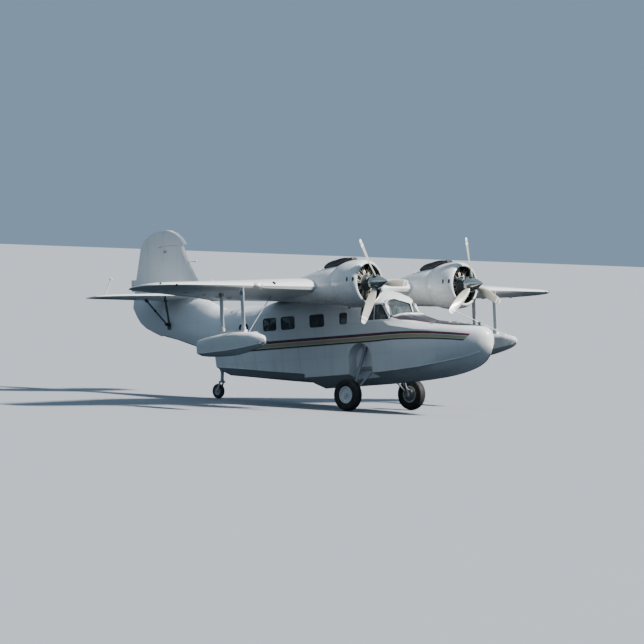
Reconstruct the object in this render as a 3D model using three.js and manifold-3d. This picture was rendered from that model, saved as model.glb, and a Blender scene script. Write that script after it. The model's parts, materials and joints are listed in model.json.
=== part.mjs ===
// Twin-engined high-wing amphibious flying boat, parked on its extended wheels.
//
// Aircraft frame, in millimetres: x forward from the stem of the bow (aft is negative),
// y to port from the plane of symmetry, z up from the keel at the main step. The whole
// aircraft is then pitched nose up onto its tail wheel and stood on the ground plane.

import * as THREE from 'three';
import { mergeVertices } from 'three/addons/utils/BufferGeometryUtils.js';
import Module from 'manifold-3d';

const wasm = await Module();
wasm.setup();

// Clearances
const TOUCH = 0.4;          // between pieces that rest on each other
const RUN = 8;              // round the nose of a control surface
const FAR = 20000;          // reach of a half space block
const PIN = 14;             // hinge pins of the control surfaces, radius

// Attitude on the ground
const GROUND_ANGLE = THREE.MathUtils.degToRad(6);

// Hull: distance aft of the stem, then the section there
const FLOOR_Z = 720;
const SILL_Z = 1500;        // top of the side walls beside the cockpit
const CANT_Z = 1900;        // top of the side walls beside the cabin
const COCKPIT_FRONT = -2600;
const COCKPIT_BACK = -3500;
const CABIN_BACK = -7620;
const WALL = 45;
const HULL = [
  // aft, keel z, chine y, chine z, half beam, shoulder z, deck z, crown roundness, lining at the deck
  [15, 660, 15, 690, 60, 880, 1000, 2.3, 20],
  [70, 520, 95, 670, 175, 930, 1110, 2.3, 45],
  [220, 370, 200, 610, 310, 980, 1215, 2.3, 45],
  [550, 225, 345, 520, 470, 1020, 1280, 2.3, 45],
  [1100, 110, 520, 430, 620, 1060, 1370, 2.3, 45],
  [1800, 45, 650, 350, 715, 1100, 1480, 2.3, 45],
  [2600, 15, 725, 300, 750, 1150, 1760, 2.3, 45],
  [3500, 0, 745, 280, 765, 1450, 2300, 2.5, 60],
  [4400, 0, 750, 270, 770, 1780, 2300, 2.5, 215],
  [5300, 0, 750, 270, 770, 1780, 2300, 2.5, 215],
  [5301, 125, 748, 370, 770, 1780, 2300, 2.5, 215],
  [6540, 265, 700, 500, 745, 1740, 2230, 2.5, 215],
  [6930, 315, 675, 545, 725, 1700, 2140, 2.5, 60],
  [7620, 400, 610, 620, 670, 1620, 2195, 2.3, 60],
  [8449, 500, 500, 700, 570, 1520, 2160, 2, 60],
  [8450, 860, 480, 1010, 570, 1520, 2160, 2, 60],
  [8700, 960, 440, 1100, 525, 1540, 2250, 1.8, 60],
  [9050, 1090, 380, 1210, 455, 1580, 2420, 1.6, 60],
  [9400, 1225, 320, 1330, 385, 1640, 2485, 1.6, 60],
  [10200, 1485, 150, 1540, 190, 1800, 2520, 1.8, 60],
  [10640, 1600, 75, 1640, 90, 1900, 2530, 2, 60],
];

// Cockpit canopy: plan outline at each height, from the centre post round to the back
const CANOPY_PLAN = [
  // z, then x, y at: post, pane middle, corner, side middle, back
  [1500, [-2325, 0], [-2400, 330], [-2600, 612], [-3050, 705], [-3500, 765]],
  [1950, [-2460, 0], [-2565, 310], [-2790, 590], [-3100, 652], [-3500, 690]],
  [2090, [-2640, 0], [-2730, 280], [-2960, 500], [-3200, 560], [-3500, 592]],
  [2210, [-2930, 0], [-2990, 210], [-3150, 350], [-3300, 410], [-3500, 440]],
  [2290, [-3230, 0], [-3260, 110], [-3340, 170], [-3420, 190], [-3500, 200]],
];

// Windows in the side walls: front x, back x, bottom z, top z, corner radius
const CABIN_WINDOWS = [
  [-3860, -4090, 1500, 1770, 60],
  [-4590, -5050, 1480, 1780, 60],
  [-5550, -6000, 1480, 1790, 60],
  [-6170, -6600, 1480, 1790, 60],
];
const PORTHOLE = [-7140, -7460, 1510, 1700, 80];
const DOOR = { front: -6690, back: -7330, bottom: 860, top: 1740, radius: 70, gap: 7 };
const DOOR_WINDOW = [-6850, -7170, 1500, 1690, 80];
const DOOR_HINGE = { y: 752, feet: [930, 1400], height: 60, reach: 42, radius: 8 };

// Wing
const WING_LE_Z = 2360;
const WING_INCIDENCE = THREE.MathUtils.degToRad(2.5);
const WING_BREAK_Y = 2340;
const WING = [
  // y, leading edge x, chord, thickness ratio
  [2340, -3500, 3050, 0.15],
  [4400, -3560, 2300, 0.13],
  [6600, -3625, 1490, 0.105],
  [7100, -3720, 1250, 0.1],
  [7330, -3880, 980, 0.095],
  [7440, -4060, 660, 0.09],
  [7470, -4230, 330, 0.09],
];
const AILERON = { inner: 4450, outer: 6900, hinge: 0.76 };
const FLAP = { inner: 2420, outer: 4330, hinge: 0.8, skin: 12, tail: 0.96 };
const LAMP = { y: 4250, length: 330, width: 150, height: 110 };

// Power units
const ENGINE_Y = 1800;
const ENGINE_Z = 2370;
const PROP_X = -1970;
const PROP_RADIUS = 1156;
const PROP_PHASE = { port: 98, starboard: 119.4 };
const COWL_RADIUS = 575;
const COWL_BORE = 548;
const COWL_SIDES = 36;
const NACELLE = [
  // aft, centre z, half width, half height
  [2900, 2370, 440, 440],
  [3010, 2370, 482, 482],
  [3300, 2370, 470, 465],
  [3750, 2360, 430, 415],
  [4250, 2335, 340, 320],
  [4800, 2310, 240, 225],
  [5400, 2285, 120, 130],
];
const CYLINDERS = 9;

// Wing floats
const FLOAT_Y = 4740;
const FLOAT = [
  // aft, keel z, chine y, chine z, half beam, shoulder z, deck z, crown roundness
  [2985, 1000, 20, 1030, 30, 1060, 1085, 2.2],
  [3060, 930, 95, 975, 110, 1075, 1160, 2.2],
  [3320, 845, 175, 925, 195, 1115, 1250, 2.2],
  [3840, 745, 225, 870, 240, 1130, 1292, 2.2],
  [4340, 735, 230, 845, 240, 1105, 1262, 2.2],
  [4750, 750, 205, 835, 215, 1060, 1212, 2.2],
  [5030, 785, 160, 840, 170, 1020, 1168, 2.2],
];
const FLOAT_STRUTS = [-3650, -4320];

// Tail
const RUDDER_X = -10630;
const VERTICAL_TAIL = [
  // z, leading edge x, trailing edge x, half thickness
  [1610, -9900, -10760, 58],
  [1720, -9800, -11020, 70],
  [1850, -9700, -11290, 80],
  [2000, -9600, -11480, 86],
  [2190, -9500, -11610, 92],
  [2390, -9400, -11715, 95],
  [2920, -9380, -11620, 92],
  [3450, -9690, -11480, 76],
  [3890, -9870, -11370, 60],
  [3912, -9745, -11362, 60],
  [4070, -9880, -11250, 52],
  [4200, -10060, -11060, 42],
  [4280, -10260, -10820, 28],
  [4300, -10400, -10640, 12],
];
const HORN_Z = 3900;
const TAB = { lead: -11490, trail: -11740, bottom: 2810, top: 3110, half: 7 };
const TAILPLANE_Z = 2580;
const ELEVATOR_X = -10710;
const TAILPLANE = [
  // y, leading edge x, trailing edge x, half thickness
  [0, -9620, -11330, 88],
  [1000, -9790, -11325, 76],
  [1900, -10000, -11250, 62],
  [2300, -10160, -11130, 48],
  [2480, -10320, -10980, 34],
  [2550, -10520, -10800, 16],
];
const ELEVATOR = { inner: 165, outer: 2180, toe: 640 };
const TAIL_STRUT_FOOT = [-10300, 168, 1800];
const TAIL_STRUT_TOPS = [[-9780, 860], [-10215, 1205]];

// Landing gear
const WELL = { x: -3500, halfWidth: 365, archZ: 645, backY: 450, top: 1010 };
const WHEEL_Y = 1200;
const WHEEL_X = -3550;
const TYRE_RADIUS = 390;
const WHEEL_Z = -240;
const WHEEL_SIDES = 28;
const TAIL_WHEEL_X = -8760;
const TAIL_TYRE_RADIUS = 190;
const TAIL_TRAIL = 110;

// Finishes
function finish(color, roughness, metalness) {
  return new THREE.MeshStandardMaterial({ color, roughness, metalness });
}

const WHITE = finish(0xe6e9ea, 0.4, 0.1);
const GREY = finish(0x8f979b, 0.5, 0.4);
const DARK = finish(0x2a2c2e, 0.6, 0.3);
const BLACK = finish(0x151515, 0.7, 0.1);
const SPINNER = finish(0x7d8a90, 0.2, 0.8);
const BLADE = finish(0xd9d8cc, 0.5, 0.1);
const RUBBER = finish(0x1c1c1c, 0.9, 0);
const GLASS = finish(0x4a5a60, 0.1, 0.1);
const CLOTH = finish(0x6b3a2e, 0.9, 0);

// Solids from geometry and back

function solidOf(geometry) {
  const bare = geometry.clone();
  bare.deleteAttribute('normal');
  bare.deleteAttribute('uv');
  const welded = mergeVertices(bare, 1e-3);
  return new wasm.Manifold(new wasm.Mesh({
    numProp: 3,
    vertProperties: new Float32Array(welded.attributes.position.array),
    triVerts: new Uint32Array(welded.index.array),
  }));
}

function geometryOf(solid) {
  const mesh = solid.getMesh();
  const geometry = new THREE.BufferGeometry();
  geometry.setAttribute('position', new THREE.BufferAttribute(mesh.vertProperties, 3));
  geometry.setIndex(new THREE.BufferAttribute(mesh.triVerts, 1));
  return geometry;
}

function join(first, ...others) {
  return geometryOf(others.reduce((whole, next) => whole.add(solidOf(next)), solidOf(first)));
}

function cut(first, ...tools) {
  return geometryOf(tools.reduce((whole, next) => whole.subtract(solidOf(next)), solidOf(first)));
}

function common(first, ...others) {
  return geometryOf(others.reduce((whole, next) => whole.intersect(solidOf(next)), solidOf(first)));
}

function largest(geometry) {
  const bodies = solidOf(geometry).decompose();
  bodies.sort((a, b) => b.volume() - a.volume());
  return geometryOf(bodies[0]);
}

// Shapes

function faceOut(geometry) {
  const position = geometry.attributes.position;
  const corner = (i) => new THREE.Vector3().fromBufferAttribute(position, geometry.index.array[i]);
  let volume = 0;
  for (let i = 0; i < geometry.index.count; i += 3) {
    volume += corner(i).dot(corner(i + 1).cross(corner(i + 2)));
  }
  if (volume < 0) {
    geometry.setIndex(Array.from(geometry.index.array).reverse());
  }
  return geometry;
}

// A closed body through loops of points of equal length, its two ends closed by fans.
function loft(rings) {
  const count = rings[0].length;
  const points = rings.flat();
  const faces = [];
  const strip = (a, b) => faces.push(a, b, b + count, a, b + count, a + count);
  rings.slice(1).forEach((ring, r) => {
    for (let i = 0; i < count; i++) {
      strip(r * count + i, r * count + ((i + 1) % count));
    }
  });
  const fan = (start, flip) => {
    const ring = points.slice(start, start + count);
    const centre = points.length;
    points.push([0, 1, 2].map((axis) => ring.reduce((sum, p) => sum + p[axis], 0) / count));
    for (let i = 0; i < count; i++) {
      const pair = [start + i, start + ((i + 1) % count)];
      faces.push(centre, ...(flip ? pair.reverse() : pair));
    }
  };
  fan(0, true);
  fan((rings.length - 1) * count, false);
  const geometry = new THREE.BufferGeometry();
  geometry.setAttribute('position', new THREE.Float32BufferAttribute(points.flat(), 3));
  geometry.setIndex(faces);
  return faceOut(geometry);
}

function mirrored(geometry) {
  const copy = geometry.clone();
  copy.scale(1, -1, 1);
  copy.setIndex(Array.from(copy.index.array).reverse());
  return copy;
}

function block(x0, x1, y0, y1, z0, z1) {
  const box = new THREE.BoxGeometry(Math.abs(x1 - x0), Math.abs(y1 - y0), Math.abs(z1 - z0));
  box.translate((x0 + x1) / 2, (y0 + y1) / 2, (z0 + z1) / 2);
  return box;
}

// A round or tapered bar between two points.
function bar(from, to, r0, r1 = r0, sides = 12, squash = 1) {
  const a = new THREE.Vector3(...from);
  const b = new THREE.Vector3(...to);
  const rod = new THREE.CylinderGeometry(r1, r0, a.distanceTo(b), sides);
  rod.scale(1, 1, squash);
  const turn = new THREE.Quaternion();
  turn.setFromUnitVectors(new THREE.Vector3(0, 1, 0), b.clone().sub(a).normalize());
  rod.applyQuaternion(turn);
  rod.translate(...a.clone().add(b).multiplyScalar(0.5).toArray());
  return rod;
}

// A flat outline in the x-z plane carried through from y0 to y1.
function slabXZ(outline, y0, y1) {
  const shape = new THREE.Shape(outline.map(([x, z]) => new THREE.Vector2(x, z)));
  const slab = new THREE.ExtrudeGeometry(shape, { depth: y1 - y0, bevelEnabled: false });
  slab.rotateX(Math.PI / 2);
  slab.translate(0, y1, 0);
  return slab;
}

// A flat outline in the x-y plane carried through from z0 to z1.
function slabXY(outline, z0, z1) {
  const shape = new THREE.Shape(outline.map(([x, y]) => new THREE.Vector2(x, y)));
  const slab = new THREE.ExtrudeGeometry(shape, { depth: z1 - z0, bevelEnabled: false });
  slab.translate(0, 0, z0);
  return slab;
}

// A rectangle with round corners, as an outline.
function rounded(x0, x1, z0, z1, radius, steps = 3) {
  const corners = [[x1, z1, 0], [x0, z1, 90], [x0, z0, 180], [x1, z0, 270]];
  return corners.flatMap(([x, z, start]) => Array.from({ length: steps + 1 }, (_, i) => {
    const angle = THREE.MathUtils.degToRad(start + (90 * i) / steps);
    const centre = [x + (x === x1 ? -radius : radius), z + (z === z1 ? -radius : radius)];
    return [centre[0] + radius * Math.cos(angle), centre[1] + radius * Math.sin(angle)];
  }));
}

// A turned body about the x axis through (y, z); profile rows are x, radius.
function turned(profile, y, z, sides) {
  const points = profile.map(([x, radius]) => new THREE.Vector2(radius, x));
  const body = new THREE.LatheGeometry(points, sides);
  body.rotateZ(-Math.PI / 2);
  body.translate(0, y, z);
  return geometryOf(solidOf(faceOut(body)));
}

// Hull sections

function hullRing([aft, keel, chineY, chineZ, beam, shoulder, deck, round], inset, lining, y = 0) {
  const power = 2 / round;
  const half = [
    [chineY * 0.5, keel + inset + (chineZ - keel) * 0.42],
    [chineY - inset, chineZ + inset],
    [beam - inset - 8, (chineZ + shoulder) / 2],
    [beam - inset, shoulder],
  ];
  for (const degrees of [20, 40, 60, 76]) {
    const angle = THREE.MathUtils.degToRad(degrees);
    half.push([
      (beam - inset) * Math.cos(angle) ** power,
      shoulder + (deck - lining - shoulder) * Math.sin(angle) ** power,
    ]);
  }
  const port = half.map(([side, z]) => [-aft, y + side, z]);
  const starboard = half.toReversed().map(([side, z]) => [-aft, y - side, z]);
  return [[-aft, y, keel + inset], ...port, [-aft, y, deck - lining], ...starboard];
}

const hullOuter = loft(HULL.map((row) => hullRing(row, 0, 0)));
const hullGrown = loft(HULL.map((row) => hullRing(row, -TOUCH, -TOUCH)));
const hullInner = loft(HULL.map((row) => hullRing(row, WALL, row[8])));

// The outline at one height, moved in by an inset.
function canopyRing([z, ...plan], inset) {
  const port = plan.map(([x, y]) => [x - inset, Math.max(y - inset, 0), z]);
  port[port.length - 1][0] = plan.at(-1)[0];
  const starboard = port.slice(1).toReversed().map(([x, y]) => [x, -y, z]);
  return [...port, ...starboard];
}

// Wing sections

function airfoil(chord, thickness) {
  const stations = [1, 0.88, 0.72, 0.55, 0.38, 0.24, 0.13, 0.05, 0.015];
  const camberPeak = 0.25;
  const camberHeight = 0.018;
  const half = (t) => Math.max(3 / chord, 5 * thickness * (0.2969 * Math.sqrt(t) - 0.126 * t
    - 0.3516 * t ** 2 + 0.2843 * t ** 3 - 0.1036 * t ** 4));
  const camber = (t) => (t < camberPeak
    ? camberHeight * (2 * t / camberPeak - (t / camberPeak) ** 2)
    : camberHeight * (1 - ((t - camberPeak) / (1 - camberPeak)) ** 2));
  const upper = stations.map((t) => [t * chord, (camber(t) + half(t)) * chord]);
  const lower = stations.toReversed().map((t) => [t * chord, (camber(t) - half(t)) * chord]);
  return [...upper, [0, 0], ...lower];
}

function wingPoint(leadX, back, up) {
  const c = Math.cos(WING_INCIDENCE);
  const s = Math.sin(WING_INCIDENCE);
  return [leadX - back * c + up * s, WING_LE_Z - back * s + up * c];
}

function wingRing([y, leadX, chord, thickness], grow = 0) {
  const outline = airfoil(chord, thickness);
  const nose = (outline.length - 1) / 2;
  return outline.map(([back, up], i) => {
    const lift = Math.sign(nose - i) * grow;
    const ahead = back === 0 ? grow : 0;
    const behind = back === chord ? grow : 0;
    const [x, z] = wingPoint(leadX + ahead - behind, back, up + lift);
    return [x, y, z];
  });
}

function wingRowAt(y) {
  const after = WING.findIndex((row) => row[0] > y);
  const [a, b] = [WING[after - 1], WING[after]];
  const t = (y - a[0]) / (b[0] - a[0]);
  return a.map((value, i) => THREE.MathUtils.lerp(value, b[i], t));
}

function wingHinge(y, fraction) {
  const [, leadX, chord, thickness] = wingRowAt(y);
  const camber = 0.018 * (1 - ((fraction - 0.25) / 0.75) ** 2);
  const [x, z] = wingPoint(leadX, fraction * chord, camber * chord);
  const half = 5 * thickness * (0.2969 * Math.sqrt(fraction) - 0.126 * fraction
    - 0.3516 * fraction ** 2 + 0.2843 * fraction ** 3 - 0.1036 * fraction ** 4);
  return { point: [x, y, z], radius: noseRadius(half * chord) };
}

const noseRadius = (half) => 0.97 * half;

// A round rod through stations along a straight hinge; growth clears it all round and at both ends.
function hingeRod(stations, grow = 0, sides = 16) {
  const ends = [stations[0], stations.at(-1)].map(({ point }) => new THREE.Vector3(...point));
  const along = ends[1].clone().sub(ends[0]).normalize();
  const turn = new THREE.Quaternion().setFromUnitVectors(new THREE.Vector3(0, 0, 1), along);
  const round = grow > 0 ? 1 / Math.cos(Math.PI / sides) : 1;
  return loft(stations.map(({ point, radius }, i) => {
    const shift = (i === stations.length - 1 ? grow : 0) - (i === 0 ? grow : 0);
    const centre = new THREE.Vector3(...point).addScaledVector(along, shift);
    return Array.from({ length: sides }, (_, k) => {
      const angle = (2 * Math.PI * (k + 0.5)) / sides;
      const reach = (radius + grow) * round;
      return new THREE.Vector3(reach * Math.cos(angle), reach * Math.sin(angle), 0)
        .applyQuaternion(turn).add(centre).toArray();
    });
  }));
}

// A hinged surface cut from a panel: its round nose turns in a cove of the panel.
function hinged(panel, stations, behind) {
  const [from, to] = [stations[0], stations.at(-1)];
  const along = new THREE.Vector3(...to.point).sub(new THREE.Vector3(...from.point)).normalize();
  const moved = (end, by) => new THREE.Vector3(...end).addScaledVector(along, by).toArray();
  const nose = hingeRod(stations);
  const cove = join(hingeRod(stations, RUN), behind(RUN));
  const pins = [[from, -1], [to, 1]].map(([end, sign]) => bar(
    moved(end.point, sign * TOUCH), moved(end.point, sign * (RUN + 15)), PIN, PIN, 8));
  return {
    surface: join(common(panel, behind(0)), nose),
    panel: join(cut(panel, cove), ...pins),
  };
}

// The aircraft

const aircraft = new THREE.Group();

function add(name, geometry, material, parent = aircraft) {
  const mesh = new THREE.Mesh(geometry, material);
  mesh.name = name;
  parent.add(mesh);
  return mesh;
}

const SIDES = [['port', 1], ['starboard', -1]];
const onSide = (geometry, sign) => (sign > 0 ? geometry : mirrored(geometry));

// Wing

const centreHalf = WING_BREAK_Y - TOUCH / 2;
const centreLoft = (half, grow) => loft([-half, half].map((y) => wingRing(
  [y, ...WING[0].slice(1)], grow)));
const wingCentre = centreLoft(centreHalf, 0);
const wingCentreGrown = centreLoft(WING_BREAK_Y, TOUCH);
const outerRows = [[WING_BREAK_Y + TOUCH / 2, ...WING[0].slice(1)], ...WING.slice(1)];
const wingOuter = loft(outerRows.map((row) => wingRing(row)));
const wingOuterGrown = loft(outerRows.map((row) => wingRing(row, TOUCH)));

function makeWing() {
  add('wing_centre', wingCentre, WHITE);

  const inner = wingHinge(AILERON.inner, AILERON.hinge);
  const outer = wingHinge(AILERON.outer, AILERON.hinge);
  const span = AILERON.outer - AILERON.inner;
  const along = new THREE.Vector2(outer.point[0] - inner.point[0], span).normalize();
  const behindAileron = (gap) => {
    const corner = ([x, y], run, aft) => [
      x + run * along.x - aft * along.y,
      y + run * along.y + aft * along.x,
    ];
    return slabXY([
      corner(inner.point, -gap, 0),
      corner(outer.point, gap, 0),
      corner(outer.point, gap, 900),
      corner(inner.point, -gap, 900),
    ], 2000, 2700);
  };
  const { surface, panel } = hinged(wingOuter, [inner, outer], behindAileron);

  const strip = (gap, lead, tail) => slabXY([
    [wingHinge(FLAP.inner, lead).point[0] + gap, FLAP.inner - gap],
    [wingHinge(FLAP.outer, lead).point[0] + gap, FLAP.outer + gap],
    [wingHinge(FLAP.outer, tail).point[0] - gap, FLAP.outer + gap],
    [wingHinge(FLAP.inner, tail).point[0] - gap, FLAP.inner - gap],
  ], 1900, 2700);
  const lifted = (height) => wingOuter.clone().translate(0, 0, height);
  const recess = cut(strip(RUN, FLAP.hinge, FLAP.tail), lifted(FLAP.skin + TOUCH));
  const flap = cut(common(wingOuter, strip(0, FLAP.hinge, FLAP.tail)), lifted(FLAP.skin));

  const lead = wingRowAt(LAMP.y)[1];
  const lamp = new THREE.SphereGeometry(1, 12, 8);
  lamp.scale(LAMP.height, LAMP.length / 2, LAMP.width / 2);
  lamp.translate(lead - 10, LAMP.y, WING_LE_Z + 6);
  const outerPanel = join(cut(panel, recess), lamp);

  for (const [side, sign] of SIDES) {
    add(`wing_outer_${side}`, onSide(outerPanel, sign), WHITE);
    add(`aileron_${side}`, onSide(surface, sign), WHITE);
    add(`flap_${side}`, onSide(flap, sign), WHITE);
  }
}

// Hull

function makeHull() {
  const canopyAt = (inset, foot) => loft(CANOPY_PLAN.map(([z, ...plan], i) => canopyRing(
    [z - (i === 0 ? foot : inset), ...plan], inset)));
  const canopyOuter = canopyAt(0, 0);
  const canopyGrown = canopyAt(-TOUCH, TOUCH);
  const canopyInner = canopyAt(40, 20);

  const bow = cut(
    common(hullOuter, block(COCKPIT_FRONT + TOUCH, 100, -FAR, FAR, -FAR, FAR)),
    canopyGrown,
  );
  const hatch = slabXY(rounded(-1120, -560, -230, 230, 90), 1180, 1600);
  const hatchHole = slabXY(rounded(-1128, -545, -238, 238, 96), 1180, 1600);
  const bowDropped = (drop) => hullOuter.clone().translate(0, 0, -drop);
  const lid = cut(common(hatch, hullOuter), bowDropped(30));
  const lidRecess = cut(hatchHole, bowDropped(30 + TOUCH));
  const bitt = join(
    block(-395, -325, -45, 45, 1200, 1262),
    bar([-360, 0, 1250], [-360, 0, 1330], 22, 22, 12),
    bar([-360, -60, 1305], [-360, 60, 1305], 14, 14, 10),
  );
  add('hull_bow', largest(cut(bow, lidRecess)), WHITE);
  add('bow_hatch', lid, BLACK);
  add('mooring_bitt', cut(bitt, hullOuter.clone().translate(0, 0, TOUCH)), DARK);

  const well = join(
    block(WELL.x - WELL.halfWidth, WELL.x + WELL.halfWidth, WELL.backY, 900, -100, WELL.archZ),
    bar([WELL.x, WELL.backY, WELL.archZ], [WELL.x, 900, WELL.archZ], WELL.halfWidth,
      WELL.halfWidth, 24),
  );
  const below = common(hullOuter, block(-9000, COCKPIT_FRONT, -FAR, FAR, -FAR, FLOOR_Z));
  const house = common(
    block(WELL.x - 420, WELL.x + 420, WELL.backY - 30, 900, FLOOR_Z - 50, WELL.top + 60),
    loft(HULL.map((row) => hullRing(row, WALL + TOUCH, row[8]))),
  );
  add('hull_bottom', cut(join(below, house, mirrored(house)), well, mirrored(well)), WHITE);

  const shell = cut(hullOuter, hullInner);
  const portHalf = (front, back, top) => block(back, front, 0.2, FAR, FLOOR_Z + TOUCH, top - TOUCH);
  const cockpitWall = common(shell, portHalf(COCKPIT_FRONT - TOUCH, COCKPIT_BACK, SILL_Z));
  const cabinWall = common(shell, portHalf(COCKPIT_BACK, CABIN_BACK + TOUCH, CANT_Z));
  const opening = ([front, back, bottom, top, radius]) => slabXZ(
    rounded(back, front, bottom, top, radius), 400, 900);
  const wall = cut(join(cockpitWall, cabinWall), ...CABIN_WINDOWS.map(opening), well);
  const doorway = (gap) => opening([
    DOOR.front + gap, DOOR.back - gap, DOOR.bottom - gap, DOOR.top + gap, DOOR.radius]);
  const hingeX = DOOR.front + DOOR.gap / 2;
  const knuckle = (step, ahead) => DOOR_HINGE.feet.map((foot) => {
    const { y, height, reach, radius } = DOOR_HINGE;
    const z = foot + step * height;
    const top = z + height - TOUCH;
    return join(
      bar([hingeX, y, z], [hingeX, y, top], radius, radius, 10),
      block(hingeX, hingeX + ahead * reach, y - radius, y + 6, z, top),
      block(hingeX + ahead * radius, hingeX + ahead * reach, y - 52, y, z, top),
    );
  });
  const portWall = largest(cut(wall, doorway(DOOR.gap)));
  const door = cut(common(cabinWall, doorway(0)), opening(DOOR_WINDOW));
  add('side_wall_port', join(portWall, ...knuckle(0, 1), ...knuckle(2, 1)), WHITE);
  add('side_wall_starboard', mirrored(largest(cut(wall, opening(PORTHOLE)))), WHITE);
  add('entry_door', join(door, ...knuckle(1, -1)), WHITE);

  const roof = cut(
    common(shell, block(CABIN_BACK + TOUCH, COCKPIT_BACK, -FAR, FAR, CANT_Z, FAR)),
    wingCentreGrown,
  );
  add('cabin_roof', largest(roof), WHITE);

  const pillar = CANOPY_PLAN.map(([z, , , corner]) => [corner[0], z]);
  const aheadOfPillar = (by) => slabXZ([
    ...pillar.map(([x, z]) => [x + by, z]), [0, pillar.at(-1)[1]], [0, pillar[0][1]]], -FAR, FAR);
  const pane = (sign) => {
    const shape = new THREE.Shape();
    shape.moveTo(sign * 28, 1700);
    shape.lineTo(sign * 590, 1620);
    shape.lineTo(sign * 598, 1880);
    shape.quadraticCurveTo(sign * 520, 2010, sign * 330, 2025);
    shape.lineTo(sign * 28, 1905);
    const tool = new THREE.ExtrudeGeometry(shape, { depth: 900, bevelEnabled: false, curveSegments: 5 });
    tool.rotateX(Math.PI / 2);
    tool.rotateZ(Math.PI / 2);
    tool.translate(-2900, 0, 0);
    return common(tool, aheadOfPillar(16));
  };
  const sideWindow = slabXZ([[-2662, 1548], [-3420, 1548], [-3420, 1905], [-2862, 1905]], -FAR, FAR);
  const canopyShell = common(
    cut(canopyOuter, canopyInner),
    block(COCKPIT_BACK + TOUCH, 0, -FAR, FAR, SILL_Z, FAR),
  );
  const canopy = cut(canopyShell, pane(1), pane(-1), sideWindow, wingCentreGrown);
  add('cockpit_canopy', largest(canopy), WHITE);

  const glass = common(
    cut(canopyAt(40 + TOUCH, 20), canopyAt(48, 20)),
    block(-FAR, 0, -FAR, FAR, 1590, 2045),
    aheadOfPillar(-30),
  );
  add('windshield_glass', largest(glass), GLASS);

  const tail = common(hullOuter, block(-FAR, CABIN_BACK, -FAR, FAR, FLOOR_Z + TOUCH, FAR));
  add('tail_cone', cut(tail, rudderCove), WHITE);
}

function makeInterior() {
  const panel = join(
    block(-2680, COCKPIT_FRONT - TOUCH, -520, 520, 1130, SILL_Z - TOUCH),
    block(-2680, COCKPIT_FRONT - TOUCH, -350, 350, SILL_Z - 20, 1565),
    block(-2680, -2560, -350, 350, SILL_Z + TOUCH, 1565),
  );
  add('instrument_panel', panel, DARK);

  const seat = (x, y, width) => join(
    block(x - 460, x, y - width / 2, y + width / 2, 1010, 1110),
    block(x - 560, x - 455, y - width / 2, y + width / 2, 1015, 1640),
    block(x - 420, x - 60, y - width / 2 + 60, y + width / 2 - 60, FLOOR_Z + TOUCH, 1020),
  );
  const rail = (x0, x1, y) => block(x0, x1, y - 190, y + 190, FLOOR_Z + TOUCH, FLOOR_Z + 20);
  for (const [side, sign] of SIDES) {
    add(`cockpit_seat_${side}`, seat(-2890, sign * 212, 390), CLOTH);
    const row = [-4250, -5150, -5980].map((x) => seat(x, sign * 400, 420));
    add(`cabin_seats_${side}`, join(...row, rail(-6420, -4300, sign * 400)), CLOTH);
  }
}

// Power units, each built about its own propeller axis

function makePropeller() {
  const rows = [
    // radius, chord, thickness, pitch in degrees
    [50, 104, 90, 62],
    [200, 112, 80, 52],
    [340, 190, 48, 42],
    [600, 232, 28, 30],
    [860, 214, 18, 23],
    [1060, 168, 12, 19],
    [1135, 104, 9, 17],
    [PROP_RADIUS, 44, 6, 17],
  ];
  const blade = loft(rows.map(([radius, chord, thick, pitch]) => {
    const turn = THREE.MathUtils.degToRad(pitch);
    return Array.from({ length: 10 }, (_, i) => {
      const angle = (i * Math.PI) / 5;
      const along = (chord / 2) * Math.cos(angle);
      const across = (thick / 2) * Math.sin(angle);
      return [
        along * Math.sin(turn) + across * Math.cos(turn),
        across * Math.sin(turn) - along * Math.cos(turn),
        radius,
      ];
    });
  }));
  const turns = [0, 1, 2].map((i) => (i * Math.PI * 2) / 3);
  const hub = turned([[70, 0], [70, 78], [-102, 78], [-102, 186.4], [-112, 188.4], [-112, 60],
    [-120, 60], [-120, 0]], 0, 0, 24);
  const blades = turns.map((turn) => blade.clone().rotateX(turn));
  const shanks = turns.map((turn) => bar([0, 0, 90], [0, 0, 300], 66, 66, 14).rotateX(turn));
  const spinner = turned([[340, 0], [305, 26], [220, 76], [100, 136], [-20, 180], [-116, 199],
    [-116, 190], [-20, 171], [100, 127], [220, 67], [318, 0]], 0, 0, 24);
  return { blades: join(hub, ...blades), spinner: cut(spinner, ...shanks) };
}

function makeEngine() {
  const nose = PROP_X - 120 - TOUCH;
  const back = -NACELLE[0][0] + TOUCH;
  const crankcase = turned([[nose, 0], [nose, 50], [nose - 60, 52], [nose - 70, 110],
    [-2330, 190], [-2420, 205], [-2700, 205], [back, 240], [back, 0]], 0, 0, 18);
  const reach = (COWL_BORE - TOUCH) * Math.cos(Math.PI / COWL_SIDES);
  const headTop = Math.sqrt(reach ** 2 - 70 ** 2) - TOUCH;
  const cylinders = Array.from({ length: CYLINDERS }, (_, i) => {
    const turn = (i * Math.PI * 2) / CYLINDERS;
    const pushrods = [-36, 36].map((y) => bar([-2340, y * 0.6, 165], [-2440, y, 470], 13, 13, 4));
    return join(
      bar([-2520, 0, 190], [-2520, 0, 455], 76, 84, 8),
      block(-2605, -2435, -70, 70, 440, headTop),
      ...pushrods,
    ).rotateX(turn);
  });
  return join(crankcase, ...cylinders);
}

function makeCowl() {
  return turned([
    [-2195, 480], [-2225, 525], [-2300, 560], [-2480, COWL_RADIUS], [-2740, 566], [-2985, 500],
    [-2985, 486], [-2760, COWL_BORE], [-2380, COWL_BORE], [-2250, 470], [-2210, 445], [-2195, 480],
  ], 0, 0, COWL_SIDES);
}

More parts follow.
